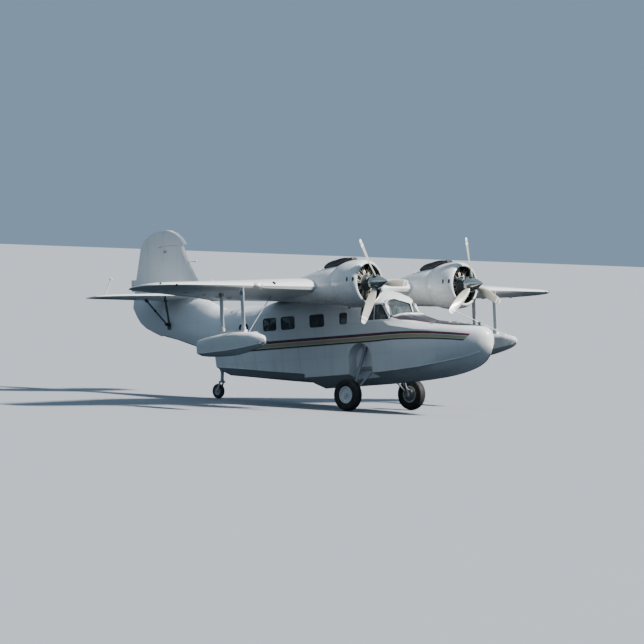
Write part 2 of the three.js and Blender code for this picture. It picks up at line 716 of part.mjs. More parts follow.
function makeScoop(cowlBody, nacelleBody) {
  const rows = [
    // aft, top z over the propeller axis, half width
    [2630, 628, 95],
    [2690, 648, 125],
    [2790, 652, 135],
    [3010, 642, 135],
    [3430, 570, 125],
    [3570, 446, 90],
  ];
  const body = loft(rows.map(([aft, top, half]) => [
    [-aft, -half, 250], [-aft, -half, top - 45], [-aft, -half + 45, top],
    [-aft, half - 45, top], [-aft, half, top - 45], [-aft, half, 250],
  ]));
  return largest(cut(body, cowlBody, nacelleBody));
}

function nacelleLoft(grow) {
  return loft(NACELLE.map(([aft, z, width, height]) => Array.from({ length: 24 }, (_, i) => {
    const angle = (i * Math.PI) / 12;
    return [-aft + (aft === NACELLE[0][0] ? grow : 0), (width + grow) * Math.cos(angle),
      z - ENGINE_Z + (height + grow) * Math.sin(angle)];
  })));
}

function makePowerUnits() {
  const { blades, spinner } = makePropeller();
  const engine = makeEngine();
  const cowl = makeCowl();
  const cowlBody = turned([[-2195, 0], [-2195, 480], [-2225, 525 + TOUCH], [-2300, 560 + TOUCH],
    [-2480, COWL_RADIUS + TOUCH], [-2740, 566 + TOUCH], [-2985 - TOUCH, 500 + TOUCH],
    [-2985 - TOUCH, 0]], 0, 0, COWL_SIDES);
  const scoop = makeScoop(cowlBody, nacelleLoft(TOUCH));
  const wingHere = (sign) => wingCentreGrown.clone().translate(0, -sign * ENGINE_Y, -ENGINE_Z);
  for (const [side, sign] of SIDES) {
    const unit = new THREE.Group();
    unit.position.set(0, sign * ENGINE_Y, ENGINE_Z);
    aircraft.add(unit);
    add(`nacelle_${side}`, largest(cut(nacelleLoft(0), wingHere(sign))), WHITE, unit);
    add(`cowl_${side}`, cowl, WHITE, unit);
    add(`engine_${side}`, engine, DARK, unit);
    add(`scoop_${side}`, cut(scoop, wingHere(sign)), BLACK, unit);
    const propeller = new THREE.Group();
    propeller.position.set(PROP_X, 0, 0);
    propeller.rotation.x = THREE.MathUtils.degToRad(PROP_PHASE[side] - 90);
    unit.add(propeller);
    add(`propeller_${side}`, blades, BLADE, propeller);
    add(`spinner_${side}`, spinner, SPINNER, propeller);
  }
}

// Wing floats

function strut(from, to, chord, thick) {
  const ring = ([x, y, z]) => Array.from({ length: 12 }, (_, i) => {
    const angle = (i * Math.PI) / 6;
    return [x + (chord / 2) * Math.cos(angle), y + (thick / 2) * Math.sin(angle), z];
  });
  return loft([ring(from), ring(to)]);
}

function makeFloats() {
  const float = loft(FLOAT.map((row) => hullRing(row, 0, 0, FLOAT_Y)));
  const floatGrown = loft(FLOAT.map((row) => hullRing(row, -TOUCH, -TOUCH, FLOAT_Y)));
  const struts = FLOAT_STRUTS.map((x) => strut([x, FLOAT_Y, 1240], [x, FLOAT_Y, 2600], 115, 42));
  const saddle = block(-4400, -3575, FLOAT_Y - 50, FLOAT_Y + 50, 1200, 1318);
  const stay = bar([-3445, FLOAT_Y + 45, 1257], [-4452, 2714, 2312], 10, 10, 8);
  const frame = largest(cut(join(saddle, ...struts), wingOuterGrown, floatGrown));
  const saddleGrown = block(-4400, -3575, FLOAT_Y - 50 - TOUCH, FLOAT_Y + 50, 1200, 1318 + TOUCH);
  const wire = largest(cut(stay, wingOuterGrown, floatGrown, saddleGrown));
  for (const [side, sign] of SIDES) {
    add(`float_${side}`, onSide(float, sign), WHITE);
    add(`float_struts_${side}`, onSide(frame, sign), WHITE);
    add(`float_stay_${side}`, onSide(wire, sign), GREY);
  }
}

// Tail

const LEAF = [1, 0.82, 0.64, 0.46, 0.28, 0.14, 0.05];
const bulge = (t) => 10 * (0.2969 * Math.sqrt(t) - 0.126 * t - 0.3516 * t ** 2 + 0.2843 * t ** 3
  - 0.1036 * t ** 4);

// A symmetrical section from leading to trailing edge; place turns x and offset into a point.
function leafRing(lead, trail, half, place) {
  const offset = (t) => Math.max(3, half * bulge(t));
  const x = (t) => lead + (trail - lead) * t;
  return [
    ...LEAF.map((t) => place(x(t), offset(t))),
    place(lead, 0),
    ...LEAF.toReversed().map((t) => place(x(t), -offset(t))),
  ];
}

function leafRadius(rows, at, x) {
  const after = rows.findIndex((row) => row[0] > at);
  const [a, b] = [rows[after - 1], rows[after]];
  const mix = (at - a[0]) / (b[0] - a[0]);
  const [, lead, trail, half] = a.map((value, i) => THREE.MathUtils.lerp(value, b[i], mix));
  return noseRadius(half * bulge((x - lead) / (trail - lead)));
}

// Places along a hinge where the section changes, with both ends.
const between = (rows, from, to) => [
  from, ...rows.map(([at]) => at).filter((at) => at > from && at < to), to];

const verticalTail = (grow) => loft(VERTICAL_TAIL.map(([z, lead, trail, half]) => leafRing(
  lead + grow, trail, half + grow, (x, y) => [x, y, z])));
const tailplaneHalf = (grow) => loft(TAILPLANE.map(([y, lead, trail, half], i) => leafRing(
  lead + grow, trail, half + grow, (x, z) => [x, i === 0 ? 1 : y, TAILPLANE_Z + z])));

const RUDDER_FOOT_Z = 1611;
const RUDDER_HEAD_Z = 3862;
const RIB = { bottom: 3870, top: 3886, radius: 52 };

const rudderStations = between(VERTICAL_TAIL, RUDDER_FOOT_Z, RUDDER_HEAD_Z).map((z) => ({
  point: [RUDDER_X, 0, z], radius: leafRadius(VERTICAL_TAIL, z, RUDDER_X) }));
const rudderCove = join(
  hingeRod(rudderStations, RUN), block(-FAR, RUDDER_X + RUN, -FAR, FAR, 0, FAR));

function makeTail() {
  const whole = verticalTail(0);
  const rib = common(whole, join(
    block(RUDDER_X, -9000, -FAR, FAR, RIB.bottom, RIB.top),
    bar([RUDDER_X, 0, RIB.bottom], [RUDDER_X, 0, RIB.top], RIB.radius, RIB.radius, 16),
  ));
  const pin = bar([RUDDER_X, 0, RIB.top - 8], [RUDDER_X, 0, RIB.top + RUN - TOUCH], PIN, PIN, 10);
  const finBody = cut(
    common(whole, block(RUDDER_X + RUN, 0, -FAR, FAR, 2100, RIB.top)),
    hingeRod(rudderStations, RUN),
    hullGrown,
  );
  const fin = join(largest(finBody), rib, pin);
  const notch = bar([RUDDER_X, 0, RUDDER_HEAD_Z], [RUDDER_X, 0, RIB.top + RUN], RIB.radius + 20,
    RIB.radius + 20, 20);
  const rudder = join(
    cut(common(whole, join(
      block(-FAR, RUDDER_X, -FAR, FAR, 0, FAR),
      block(-FAR, 0, -FAR, FAR, HORN_Z, FAR),
    )), notch),
    hingeRod(rudderStations),
    block(TAB.trail, TAB.lead, -TAB.half, TAB.half, TAB.bottom, TAB.top),
  );
  add('fin', fin, WHITE);
  add('rudder', rudder, WHITE);

  const finGrown = common(verticalTail(TOUCH), block(-FAR, 0, -FAR, FAR, 2000, 3000));
  const half = cut(
    tailplaneHalf(0),
    finGrown,
    hullGrown,
    block(-FAR, RUDDER_X + 150, -FAR, 132, 0, FAR),
  );
  const stations = between(TAILPLANE, ELEVATOR.inner, ELEVATOR.outer).map((y) => ({
    point: [ELEVATOR_X, y, TAILPLANE_Z], radius: leafRadius(TAILPLANE, y, ELEVATOR_X) }));
  const behind = (gap) => slabXY([
    [ELEVATOR_X, gap > 0 ? 0 : ELEVATOR.inner],
    [ELEVATOR_X, ELEVATOR.outer + gap],
    [ELEVATOR_X - 900, ELEVATOR.outer + gap],
    [ELEVATOR_X - 900, gap > 0 ? 0 : ELEVATOR.toe + 200],
  ], 2000, 3000);
  const { surface, panel } = hinged(half, stations, behind);

  const foot = block(TAIL_STRUT_FOOT[0] - 60, TAIL_STRUT_FOOT[0] + 60, 40, 195, 1755, 1845);
  const legs = TAIL_STRUT_TOPS.map(([x, y]) => strut(
    [TAIL_STRUT_FOOT[0], 172, TAIL_STRUT_FOOT[2]], [x, y, TAILPLANE_Z], 70, 30));
  const struts = largest(cut(join(foot, ...legs), tailplaneHalf(TOUCH), hullGrown));
  for (const [side, sign] of SIDES) {
    add(`tailplane_${side}`, onSide(panel, sign), WHITE);
    add(`elevator_${side}`, onSide(surface, sign), WHITE);
    add(`tail_struts_${side}`, onSide(struts, sign), GREY);
  }
}

// Landing gear

function wheelBody(profile, sides) {
  const points = profile.map(([radius, y]) => new THREE.Vector2(radius, y));
  return geometryOf(solidOf(faceOut(new THREE.LatheGeometry(points, sides))));
}

function makeMainGear() {
  const rimRadius = 205;
  const tyre = wheelBody([
    [rimRadius + TOUCH, -90], [280, -115], [350, -104], [382, -60], [TYRE_RADIUS, 0],
    [382, 60], [350, 104], [280, 115], [rimRadius + TOUCH, 90], [rimRadius + TOUCH, -90],
  ], WHEEL_SIDES);
  const rim = wheelBody([
    [34.6, -55], [75, -55], [88, -20], [170, -20], [180, -85], [rimRadius, -85], [rimRadius, 85],
    [180, 85], [170, 30], [88, 30], [75, 60], [34.6, 60], [34.6, -55],
  ], WHEEL_SIDES);
  const hub = [WHEEL_X, 1040, WHEEL_Z];
  const wall = WELL.backY + TOUCH;
  const leg = join(
    block(WELL.x - 290, WELL.x + 290, wall, 530, 355, 435),
    block(WELL.x - 100, WELL.x, wall, 530, 830, 920),
    bar([WELL.x - 250, 490, 395], hub, 30, 26, 10),
    bar([WELL.x + 250, 490, 395], hub, 30, 26, 10),
    bar([WELL.x - 50, 490, 875], [WHEEL_X, 780, 270], 44, 44, 12),
    bar([WHEEL_X, 765, 300], hub, 28, 28, 12),
    block(WHEEL_X - 60, WHEEL_X + 60, 985, 1065, WHEEL_Z - 60, WHEEL_Z + 60),
    bar([WHEEL_X, 1050, WHEEL_Z], [WHEEL_X, WHEEL_Y + 70, WHEEL_Z], 33, 33, 16),
    bar([WHEEL_X, 1060, WHEEL_Z], [WHEEL_X, WHEEL_Y - 55 - TOUCH, WHEEL_Z], 60, 60, 16),
    bar([WHEEL_X, WHEEL_Y + 60 + TOUCH, WHEEL_Z], [WHEEL_X, WHEEL_Y + 78, WHEEL_Z], 52, 52, 16),
  );
  for (const [side, sign] of SIDES) {
    add(`main_gear_leg_${side}`, onSide(leg, sign), GREY);
    const wheel = new THREE.Group();
    wheel.position.set(WHEEL_X, sign * WHEEL_Y, WHEEL_Z);
    aircraft.add(wheel);
    add(`wheel_rim_${side}`, onSide(rim, sign), WHITE, wheel);
    add(`tyre_${side}`, tyre, RUBBER, wheel);
  }
}

function makeTailGear() {
  const height = (TAIL_TYRE_RADIUS - TYRE_RADIUS - (TAIL_WHEEL_X - WHEEL_X) * Math.sin(GROUND_ANGLE))
    / Math.cos(GROUND_ANGLE);
  const swivel = new THREE.Group();
  swivel.position.set(TAIL_WHEEL_X, 0, WHEEL_Z + height);
  swivel.rotation.y = GROUND_ANGLE;
  swivel.updateMatrix();
  aircraft.add(swivel);
  const crown = 300;
  const leg = join(
    bar([0, 0, crown + TOUCH], [0, 0, 1100], 42, 42, 14),
    bar([0, 0, 420], [-420, 0, 1200], 24, 24, 10),
    block(-75, 75, -60, 60, 700, 1100),
  );
  leg.applyMatrix4(swivel.matrix);
  add('tail_gear_leg', largest(cut(leg, hullGrown)), GREY);
  const arms = [-66, 66].map((y) => strut([0, y, 262], [-TAIL_TRAIL, y, -5], 62, 18));
  const fork = join(
    bar([0, 0, 225], [0, 0, crown], 46, 46, 14),
    block(-42, 42, -75, 75, 215, 262),
    ...arms,
    bar([-TAIL_TRAIL, -80, 0], [-TAIL_TRAIL, 80, 0], 15.8, 15.8, 16),
  );
  add('tail_wheel_fork', fork, GREY, swivel);
  const wheel = new THREE.Group();
  wheel.position.set(-TAIL_TRAIL, 0, 0);
  swivel.add(wheel);
  add('tail_wheel', wheelBody([
    [16.6, -42], [40, -42], [46, -24], [88, -24], [98, -44], [150, -50], [180, -32],
    [TAIL_TYRE_RADIUS, 0], [180, 32], [150, 50], [98, 44], [88, 24], [46, 24], [40, 42],
    [16.6, 42], [16.6, -42],
  ], 24), RUBBER, wheel);
}

makeWing();
makeHull();
makeInterior();
makePowerUnits();
makeFloats();
makeTail();
makeMainGear();
makeTailGear();

// On the ground: nose up, the wheels on z = 0 and the middle of the plan box over the origin.
const parked = new THREE.Group();
aircraft.rotation.y = -GROUND_ANGLE;
parked.add(aircraft);
const extent = new THREE.Box3().setFromObject(parked, true);
const middle = extent.getCenter(new THREE.Vector3());
aircraft.position.set(-middle.x, -middle.y, -extent.min.z);

export default parked;
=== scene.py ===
"""Looks of a twin-engined amphibious flying boat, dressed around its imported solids.

Everything is given in metres in the aircraft's own axes: x forward from the stem of the bow,
y to port, z up from the keel at the main step. `Attitude` stands those axes in the row frame.
"""

from __future__ import annotations

import json
import logging
import math
from collections.abc import Callable, Iterable, Sequence
from dataclasses import dataclass, field
from enum import Enum

import bmesh
import bpy
from mathutils import Matrix, Vector
from mathutils.bvhtree import BVHTree

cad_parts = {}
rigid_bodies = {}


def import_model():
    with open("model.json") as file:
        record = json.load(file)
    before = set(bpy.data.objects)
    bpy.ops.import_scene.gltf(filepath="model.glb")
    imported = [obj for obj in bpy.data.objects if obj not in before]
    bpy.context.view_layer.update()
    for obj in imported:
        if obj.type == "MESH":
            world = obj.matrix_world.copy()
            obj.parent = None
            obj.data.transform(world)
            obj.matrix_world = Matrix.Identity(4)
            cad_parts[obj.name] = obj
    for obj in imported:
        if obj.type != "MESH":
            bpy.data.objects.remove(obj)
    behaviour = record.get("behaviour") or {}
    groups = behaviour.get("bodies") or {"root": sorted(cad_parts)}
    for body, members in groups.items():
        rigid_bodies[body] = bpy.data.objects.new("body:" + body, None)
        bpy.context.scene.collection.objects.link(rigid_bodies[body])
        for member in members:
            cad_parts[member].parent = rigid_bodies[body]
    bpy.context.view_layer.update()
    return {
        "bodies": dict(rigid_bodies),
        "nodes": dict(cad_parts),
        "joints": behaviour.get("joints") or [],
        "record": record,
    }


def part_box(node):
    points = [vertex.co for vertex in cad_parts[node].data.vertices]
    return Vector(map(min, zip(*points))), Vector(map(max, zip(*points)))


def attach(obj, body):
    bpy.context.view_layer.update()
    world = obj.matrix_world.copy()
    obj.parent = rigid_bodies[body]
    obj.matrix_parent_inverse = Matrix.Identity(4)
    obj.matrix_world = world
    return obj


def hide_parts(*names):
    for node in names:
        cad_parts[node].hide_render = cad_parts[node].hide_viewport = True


LOG = logging.getLogger("flying_boat")
Point = Sequence[float]
Colour = tuple[float, float, float]
Rows = tuple[tuple[float, ...], ...]
SIDES = (("port", 1.0), ("starboard", -1.0))
BOTH = (1, -1)
ORIGIN = (0, 0, 0)
FORWARD, BACK, PORT, UP, DOWN = (1, 0, 0), (-1, 0, 0), (0, 1, 0), (0, 0, 1), (0, 0, -1)
ABOVE = 3.0
BESIDE = 3.0
HUB_Y = 1.80
HUB_Z = 2.37
WELD = 0.00002
OCTAGON = ((1.0, 0.45), (0.45, 1.0), (-0.45, 1.0), (-1.0, 0.45), (-1.0, -0.45), (-0.45, -1.0),
           (0.45, -1.0), (1.0, -0.45))


@dataclass(frozen=True)
class Attitude:
    """How the aircraft's own axes stand in the row frame."""

    pitch: float = math.radians(6.0)
    origin: tuple[float, float, float] = (6.04234, 0.0, 0.99976)

    def matrix(self) -> Matrix:
        """The transform from the aircraft's own axes to the row frame."""
        return Matrix.Translation(self.origin) @ Matrix.Rotation(-self.pitch, 4, "Y")

    def level(self) -> tuple[Vector, Vector]:
        """The turn and the shift that bring row frame points back to the aircraft's axes."""
        back = self.matrix().inverted()
        return Vector(back.to_euler()), back.translation


ATTITUDE = Attitude()

# Shader and rule nodes


def step(operation: str) -> Callable[..., Value]:
    """A method of Value that adds one Math node."""
    return lambda value, *others: value.math(operation, *others)


class Value:
    """A socket on which Python's operators add Math nodes."""

    def __init__(self, shader: Nodes, socket: object) -> None:
        """Keeps the socket, or a plain number, with the tree that it belongs to."""
        self.shader = shader
        self.socket = socket

    def math(self, operation: str, *others: Value | float) -> Value:
        """Adds one Math node with this value as its first operand."""
        made = self.shader.node("Math", {"operation": operation}, dict(enumerate((self, *others))))
        return Value(self.shader, made.outputs[0])

    __add__ = __radd__ = step("ADD")
    __sub__ = step("SUBTRACT")
    __mul__ = __rmul__ = step("MULTIPLY")
    __truediv__ = step("DIVIDE")
    __pow__ = step("POWER")
    __abs__ = step("ABSOLUTE")
    below = step("LESS_THAN")
    above = step("GREATER_THAN")
    least = step("MINIMUM")
    most = step("MAXIMUM")

    def __rsub__(self, other: float) -> Value:
        """Difference from a number."""
        return Value(self.shader, other) - self

    def between(self, low: float, high: float) -> Value:
        """1 inside a range."""
        return self.above(low) * self.below(high)

    def reach(self, other: Value) -> Value:
        """Length of the hypotenuse over two values."""
        return (self * self + other * other).math("SQRT")

    def apart(self, spacing: float, offset: float = 0.0) -> Value:
        """Distance to the nearest of a run of evenly spaced values."""
        return (self - offset).math("PINGPONG", spacing / 2)

    def ramp(self, low: float, high: float) -> Value:
        """0 below low, 1 above high, smooth between; low may be over high."""
        made = self.shader.node("MapRange", {"interpolation_type": "SMOOTHSTEP"}, {0: self, 1: low, 2: high})
        return Value(self.shader, made.outputs[0])


class Nodes:
    """Adds nodes to a tree by their short names."""

    tree: bpy.types.NodeTree

    def node(self, kind: str, settings: dict | None = None, inputs: dict | None = None) -> bpy.types.Node:
        """Adds a node.

        Args:
            kind: the node's type, a shader node's without its prefix.
            settings: properties of the node, set first.
            inputs: values or links by socket name or number.

        Returns:
            The node.
        """
        full = kind if kind.startswith(("GeometryNode", "FunctionNode")) else "ShaderNode" + kind
        made = self.tree.nodes.new(full)
        for key, value in (settings or {}).items():
            setattr(made, key, value)
        for key, value in (inputs or {}).items():
            source = value.socket if isinstance(value, Value) else value
            if isinstance(source, bpy.types.NodeSocket):
                self.tree.links.new(source, made.inputs[key])
            else:
                made.inputs[key].default_value = source
        return made


class Shader(Nodes):
    """Builds one procedural material that reads the aircraft's own axes."""

    def __init__(self, name: str) -> None:
        """Makes an empty material of that name.

        Args:
            name: the material's name.
        """
        self.material = bpy.data.materials.new(name)
        self.material.use_nodes = True
        self.tree = self.material.node_tree
        self.tree.nodes.clear()
        turn, shift = ATTITUDE.level()
        where = self.node("TexCoord").outputs["Object"]
        self.place = self.node("Mapping", {"vector_type": "POINT"},
                               {"Vector": where, "Rotation": turn, "Location": shift}).outputs[0]
        axes = self.node("SeparateXYZ", inputs={0: self.place}).outputs
        self.x, self.y, self.z = (Value(self, axis) for axis in axes)
        self.side = abs(self.y)

    def noise(self, scale: float, stretch: Point = (1, 1, 1), detail: float = 4.0,
              rough: float = 0.55) -> Value:
        """Fractal noise in the aircraft's axes.

        Args:
            scale: how fine it is, per metre.
            stretch: factors on the three axes.
            detail: octaves.
            rough: strength of the finer octaves.

        Returns:
            The noise, around 0.5.
        """
        where = self.node("VectorMath", {"operation": "MULTIPLY"}, {0: self.place, 1: stretch}).outputs[0]
        made = self.node("TexNoise", {}, {"Vector": where, "Scale": scale, "Detail": detail,
                                          "Roughness": rough})
        return Value(self, made.outputs[0])

    def cells(self, scale: float) -> Value:
        """Distance to the nearest of many scattered points, for chips and pits."""
        made = self.node("TexVoronoi", {}, {"Vector": self.place, "Scale": scale})
        return Value(self, made.outputs["Distance"])

    def off_hub(self) -> Value:
        """Distance from the propeller's axis on its own side."""
        return (self.side - HUB_Y).reach(self.z - HUB_Z)

    def mix(self, factor: Value | float, first: object, second: object) -> bpy.types.NodeSocket:
        """A colour between two.

        Args:
            factor: 0 for the first, 1 for the second.
            first: a colour or a colour socket.
            second: a colour or a colour socket.

        Returns:
            The colour socket.
        """
        full = [c if isinstance(c, bpy.types.NodeSocket) else (*c, 1.0) for c in (first, second)]
        return self.node("Mix", {"data_type": "RGBA"}, {0: factor, 6: full[0], 7: full[1]}).outputs[2]

    def finish(self, colour: object, roughness: Value | float, height: Value | None = None,
               depth: float = 0.002, **fixed: object) -> bpy.types.Material:
        """Ends the material with a Principled shader.

        Args:
            colour: a colour socket.
            roughness: a number or a value.
            height: bump height between 0 and 1.
            depth: the bump's real depth in metres.
            **fixed: other sockets of the shader by name, with _ for a space.

        Returns:
            The material.
        """
        inputs: dict = {"Base Color": colour, "Roughness": roughness}
        inputs.update({key.replace("_", " "): value for key, value in fixed.items()})
        if height is not None:
            bump = self.node("Bump", {}, {"Height": height, "Distance": depth, "Strength": 1.0})
            inputs["Normal"] = bump.outputs[0]
        surface = self.node("BsdfPrincipled", {}, inputs)
        self.tree.links.new(surface.outputs[0], self.node("OutputMaterial").inputs[0])
        return self.material


# Finishes

WHITE: Colour = (0.80, 0.815, 0.81)
MAROON: Colour = (0.13, 0.012, 0.030)
GOLD: Colour = (0.43, 0.37, 0.20)
INK: Colour = (0.030, 0.026, 0.030)
SOOT: Colour = (0.16, 0.13, 0.10)


class Axis(Enum):
    """The direction that a run of skin seams crosses."""

    X = "x"
    Y = "side"
    Z = "z"


@dataclass(frozen=True)
class Seams:
    """Evenly spaced skin laps with a row of rivets on each."""

    axis: Axis
    spacing: float
    offset: float
    along: Axis
    pitch: float = 0.026


@dataclass(frozen=True)
class Paint:
    """Sprayed paint with skin seams, rivets, dust and run-down streaks."""

    name: str
    colour: Colour = WHITE
    roughness: float = 0.34
    grime: float = 0.5
    seams: tuple[Seams, ...] = ()
    coat: float = 0.25
    rivet_row: float = 0.014
    rivet_edge: tuple[float, float] = (0.0045, 0.0015)
    groove_edge: tuple[float, float] = (0.0035, 0.0010)
    groove_dirt: float = 0.16
    relief: float = 0.0022
    faded: float = 0.86

    def marks(self, shader: Shader, colour: object) -> object:
        """Painted marks over the ground colour; a plain paint has none."""
        return colour

    def build(self) -> bpy.types.Material:
        """Makes the material.

        Returns:
            The material.
        """
        shader = Shader(self.name)
        broad = shader.noise(0.9)
        fine = shader.noise(14.0, rough=0.65)
        streak = shader.noise(5.0, (1.0, 1.0, 0.12), detail=3.0)
        shade = tuple(c * self.faded for c in self.colour)
        colour = shader.mix(broad.ramp(0.35, 0.75) * 0.55 * self.grime, self.colour, shade)
        colour = self.marks(shader, colour)
        dirt = streak.ramp(0.52, 0.80) * self.grime * 0.30 + fine.ramp(0.60, 0.85) * self.grime * 0.12
        height = Value(shader, 1.0)
        for seam in self.seams:
            line = getattr(shader, seam.axis.value).apart(seam.spacing, seam.offset)
            dot = getattr(shader, seam.along.value).apart(seam.pitch)
            rivet = (line - self.rivet_row).reach(dot).ramp(*self.rivet_edge)
            groove = line.ramp(*self.groove_edge)
            height = height - groove * 0.5 + rivet * 0.35
            dirt = dirt + groove * self.groove_dirt + line.ramp(0.05, 0.0) * fine * self.grime * 0.07
        chips = shader.cells(55.0).ramp(0.10, 0.03) * fine.ramp(0.62, 0.72) * self.grime * 0.5
        colour = shader.mix(dirt + chips, colour, SOOT)
        rough = fine * 0.22 + (self.roughness - 0.11) + dirt * 0.4
        return shader.finish(colour, rough, height + fine * 0.02, self.relief, Coat_Weight=self.coat,
                             Coat_Roughness=0.12)


@dataclass(frozen=True)
class HullPaint(Paint):
    """White hull paint with the side bands and the dark foredeck.

    A band edge lies at a height that falls with the square of the distance ahead of the bend,
    and a stripe covers a share of the height between the two edges.
    """

    band_front: float = -0.345
    band_back: float = -8.1
    band_bend: float = -2.6
    band_top: tuple[float, float] = (1.225, 0.0345)
    band_low: tuple[float, float] = (1.030, 0.0310)
    band_slant: float = 0.17
    stripes: tuple[tuple[float, float, Colour], ...] = (
        (0.0, 0.19, INK), (0.225, 0.63, GOLD), (0.685, 1.0, MAROON))
    deck_front: float = -0.30
    deck_back: tuple[float, float] = (-2.235, -1.02)
    deck_low: float = 1.14
    deck_half: float = 0.40
    deck_widest: float = 0.555
    deck_border: float = 0.022

    def marks(self, shader: Shader, colour: object) -> object:
        """Adds the bands along the sides and the dark deck.

        Args:
            shader: the material that is being made.
            colour: the ground colour's socket.

        Returns:
            The colour socket with the marks.
        """
        x, z, side = shader.x, shader.z, shader.side
        run = (x - self.band_bend).most(0.0)
        top = self.band_top[0] - run * run * self.band_top[1]
        low = self.band_low[0] - run * run * self.band_low[1] - x.ramp(-2.4, -3.2) * 0.018
        level = (z - low) / (top - low)
        slant = (1.0 - level) * self.band_slant
        span = x.below(self.band_front - slant) * x.above(self.band_back - slant)
        on_side = side.above(0.02) * span * x.below(0.0)
        for start, end, paint in self.stripes:
            colour = shader.mix(on_side * level.between(start, end), colour, paint)
        aft = (self.deck_front - x).most(0.0)
        flare = (aft - 1.4).most(0.0) / 0.9
        width = (1.0 - Value(shader, math.e) ** (aft / -0.35)) * self.deck_half + flare * flare * 0.32
        width = width.least(self.deck_widest)
        middle, bow = self.deck_back
        deck = x.below(self.deck_front) * x.above(side * side * bow + middle) * z.above(self.deck_low)
        colour = shader.mix(deck * side.below(width + self.deck_border), colour, MAROON)
        return shader.mix(deck * side.below(width), colour, INK)


@dataclass(frozen=True)
class CanopyPaint(Paint):
    """White canopy paint with the dark anti-glare strip under the windshield."""

    sill: float = 1.712
    sill_slope: float = 0.142
    strip_back: float = -2.80
    strip_half: float = 0.597

    def marks(self, shader: Shader, colour: object) -> object:
        """Adds the strip between the windshield and the coaming.

        Args:
            shader: the material that is being made.
            colour: the ground colour's socket.

        Returns:
            The colour socket with the strip.
        """
        under = (shader.z.below(self.sill - shader.side * self.sill_slope)
                 * shader.x.above(self.strip_back) * shader.side.below(self.strip_half))
        return shader.mix(under, colour, (0.022, 0.024, 0.028))


@dataclass(frozen=True)
class CowlPaint(Paint):
    """Cowl and nacelle paint: a white lip, painted shade darkening the inside, and oil at the bottom."""

    lip: float = -2.232
    back: float = -2.9845
    case: float = 0.40
    oil: Colour = (0.36, 0.25, 0.15)
    # near-black colour of the painted shade inside the cowl ring
    inside: Colour = (0.09, 0.09, 0.085)

    def marks(self, shader: Shader, colour: object) -> object:
        """Adds oil runs towards the back and bottom, and painted shade that darkens the inside of the cowl
        ring.

        Args:
            shader: the material that is being made.
            colour: the ground colour's socket.

        Returns:
            The colour socket with the marks.
        """
        low = (HUB_Z - shader.z).ramp(0.18, 0.56)
        runs = shader.noise(3.2, (0.35, 2.2, 1.2))
        aft = shader.x.ramp(-2.35, -2.9)
        colour = shader.mix(low * runs.ramp(0.35, 0.75) * (aft * 0.50 + 0.30), colour, self.oil)
        # Painted shade: the cowl's inside, between lip and back and out past the crankcase, is darkened
        # near-black.
        radius = shader.off_hub()
        wall = ((self.lip - shader.x) * 0.38 + 0.500).least((shader.x + 2.985) * 0.285 + 0.493)
        painted_shade_inside = radius.below(wall.least(0.5565)) * shader.x.between(self.back, self.lip)
        return shader.mix(painted_shade_inside * radius.above(self.case), colour, self.inside)


@dataclass(frozen=True)
class BladePaint(Paint):
    """Cream propeller paint with a bare shank and two pale bands at the tip."""

    shank: float = 0.23
    bands: Rows = ((0.97, 1.035), (1.075, 1.16))
    edges: Rows = ((0.955, 0.97), (1.035, 1.045), (1.065, 1.075))

    def marks(self, shader: Shader, colour: object) -> object:
        """Adds the bare shank, the bands and their dark edges.

        Args:
            shader: the material that is being made.
            colour: the ground colour's socket.

        Returns:
            The colour socket with the marks.
        """
        radius = shader.off_hub()
        colour = shader.mix(radius.below(self.shank), colour, (0.30, 0.31, 0.31))
        for rows, strength, paint in ((self.bands, 1.0, (0.92, 0.92, 0.90)),
                                      (self.edges, 0.7, (0.35, 0.33, 0.28))):
            for start, end in rows:
                colour = shader.mix(radius.between(start, end) * strength, colour, paint)
        return colour


@dataclass(frozen=True)
class Metal:
    """Bare or plated metal with grain, dust and stains."""

    name: str
    colour: Colour = (0.45, 0.46, 0.47)
    roughness: float = 0.32
    stain: float = 0.3
    metal: float = 0.9

    def build(self) -> bpy.types.Material:
        """Makes the material.

        Returns:
            The material.
        """
        shader = Shader(self.name)
        fine = shader.noise(60.0, rough=0.7)
        stain = shader.noise(6.0).ramp(0.48, 0.78) * self.stain + fine.ramp(0.62, 0.9) * self.stain * 0.4
        colour = shader.mix(stain, self.colour, (0.12, 0.09, 0.06))
        rough = fine * 0.18 + (self.roughness - 0.09) + stain * 0.35
        return shader.finish(colour, rough, fine, 0.0004, Metallic=self.metal - stain * 0.5)


@dataclass(frozen=True)
class Rubber:
    """Tyre and seal rubber with dust in its pores."""

    name: str
    dust: float = 0.35

    def build(self) -> bpy.types.Material:
        """Makes the material.

        Returns:
            The material.
        """
        shader = Shader(self.name)
        fine = shader.noise(90.0, rough=0.7)
        dust = (shader.noise(7.0).ramp(0.42, 0.75) * 0.7 + fine.ramp(0.5, 0.8) * 0.3) * self.dust
        colour = shader.mix(dust, (0.022, 0.022, 0.023), (0.17, 0.155, 0.13))
        return shader.finish(colour, 0.72 + dust * 0.25, fine, 0.0006)


@dataclass(frozen=True)
class Glass:
    """Window sheet: tinted, smeared a little, partly see-through."""

    name: str
    colour: Colour = (0.10, 0.13, 0.14)
    alpha: float = 0.45

    def build(self) -> bpy.types.Material:
        """Makes the material.

        Returns:
            The material.
        """
        shader = Shader(self.name)
        smear = shader.noise(9.0, (1.0, 1.0, 0.4))
        colour = shader.mix(smear.ramp(0.4, 0.8) * 0.35, self.colour, (0.45, 0.48, 0.48))
        opacity = smear.ramp(0.45, 0.85) * 0.18 + self.alpha
        return shader.finish(colour, smear * 0.10 + 0.03, Alpha=opacity, Coat_Weight=0.6,
                             Coat_Roughness=0.03, Specular_IOR_Level=0.8)


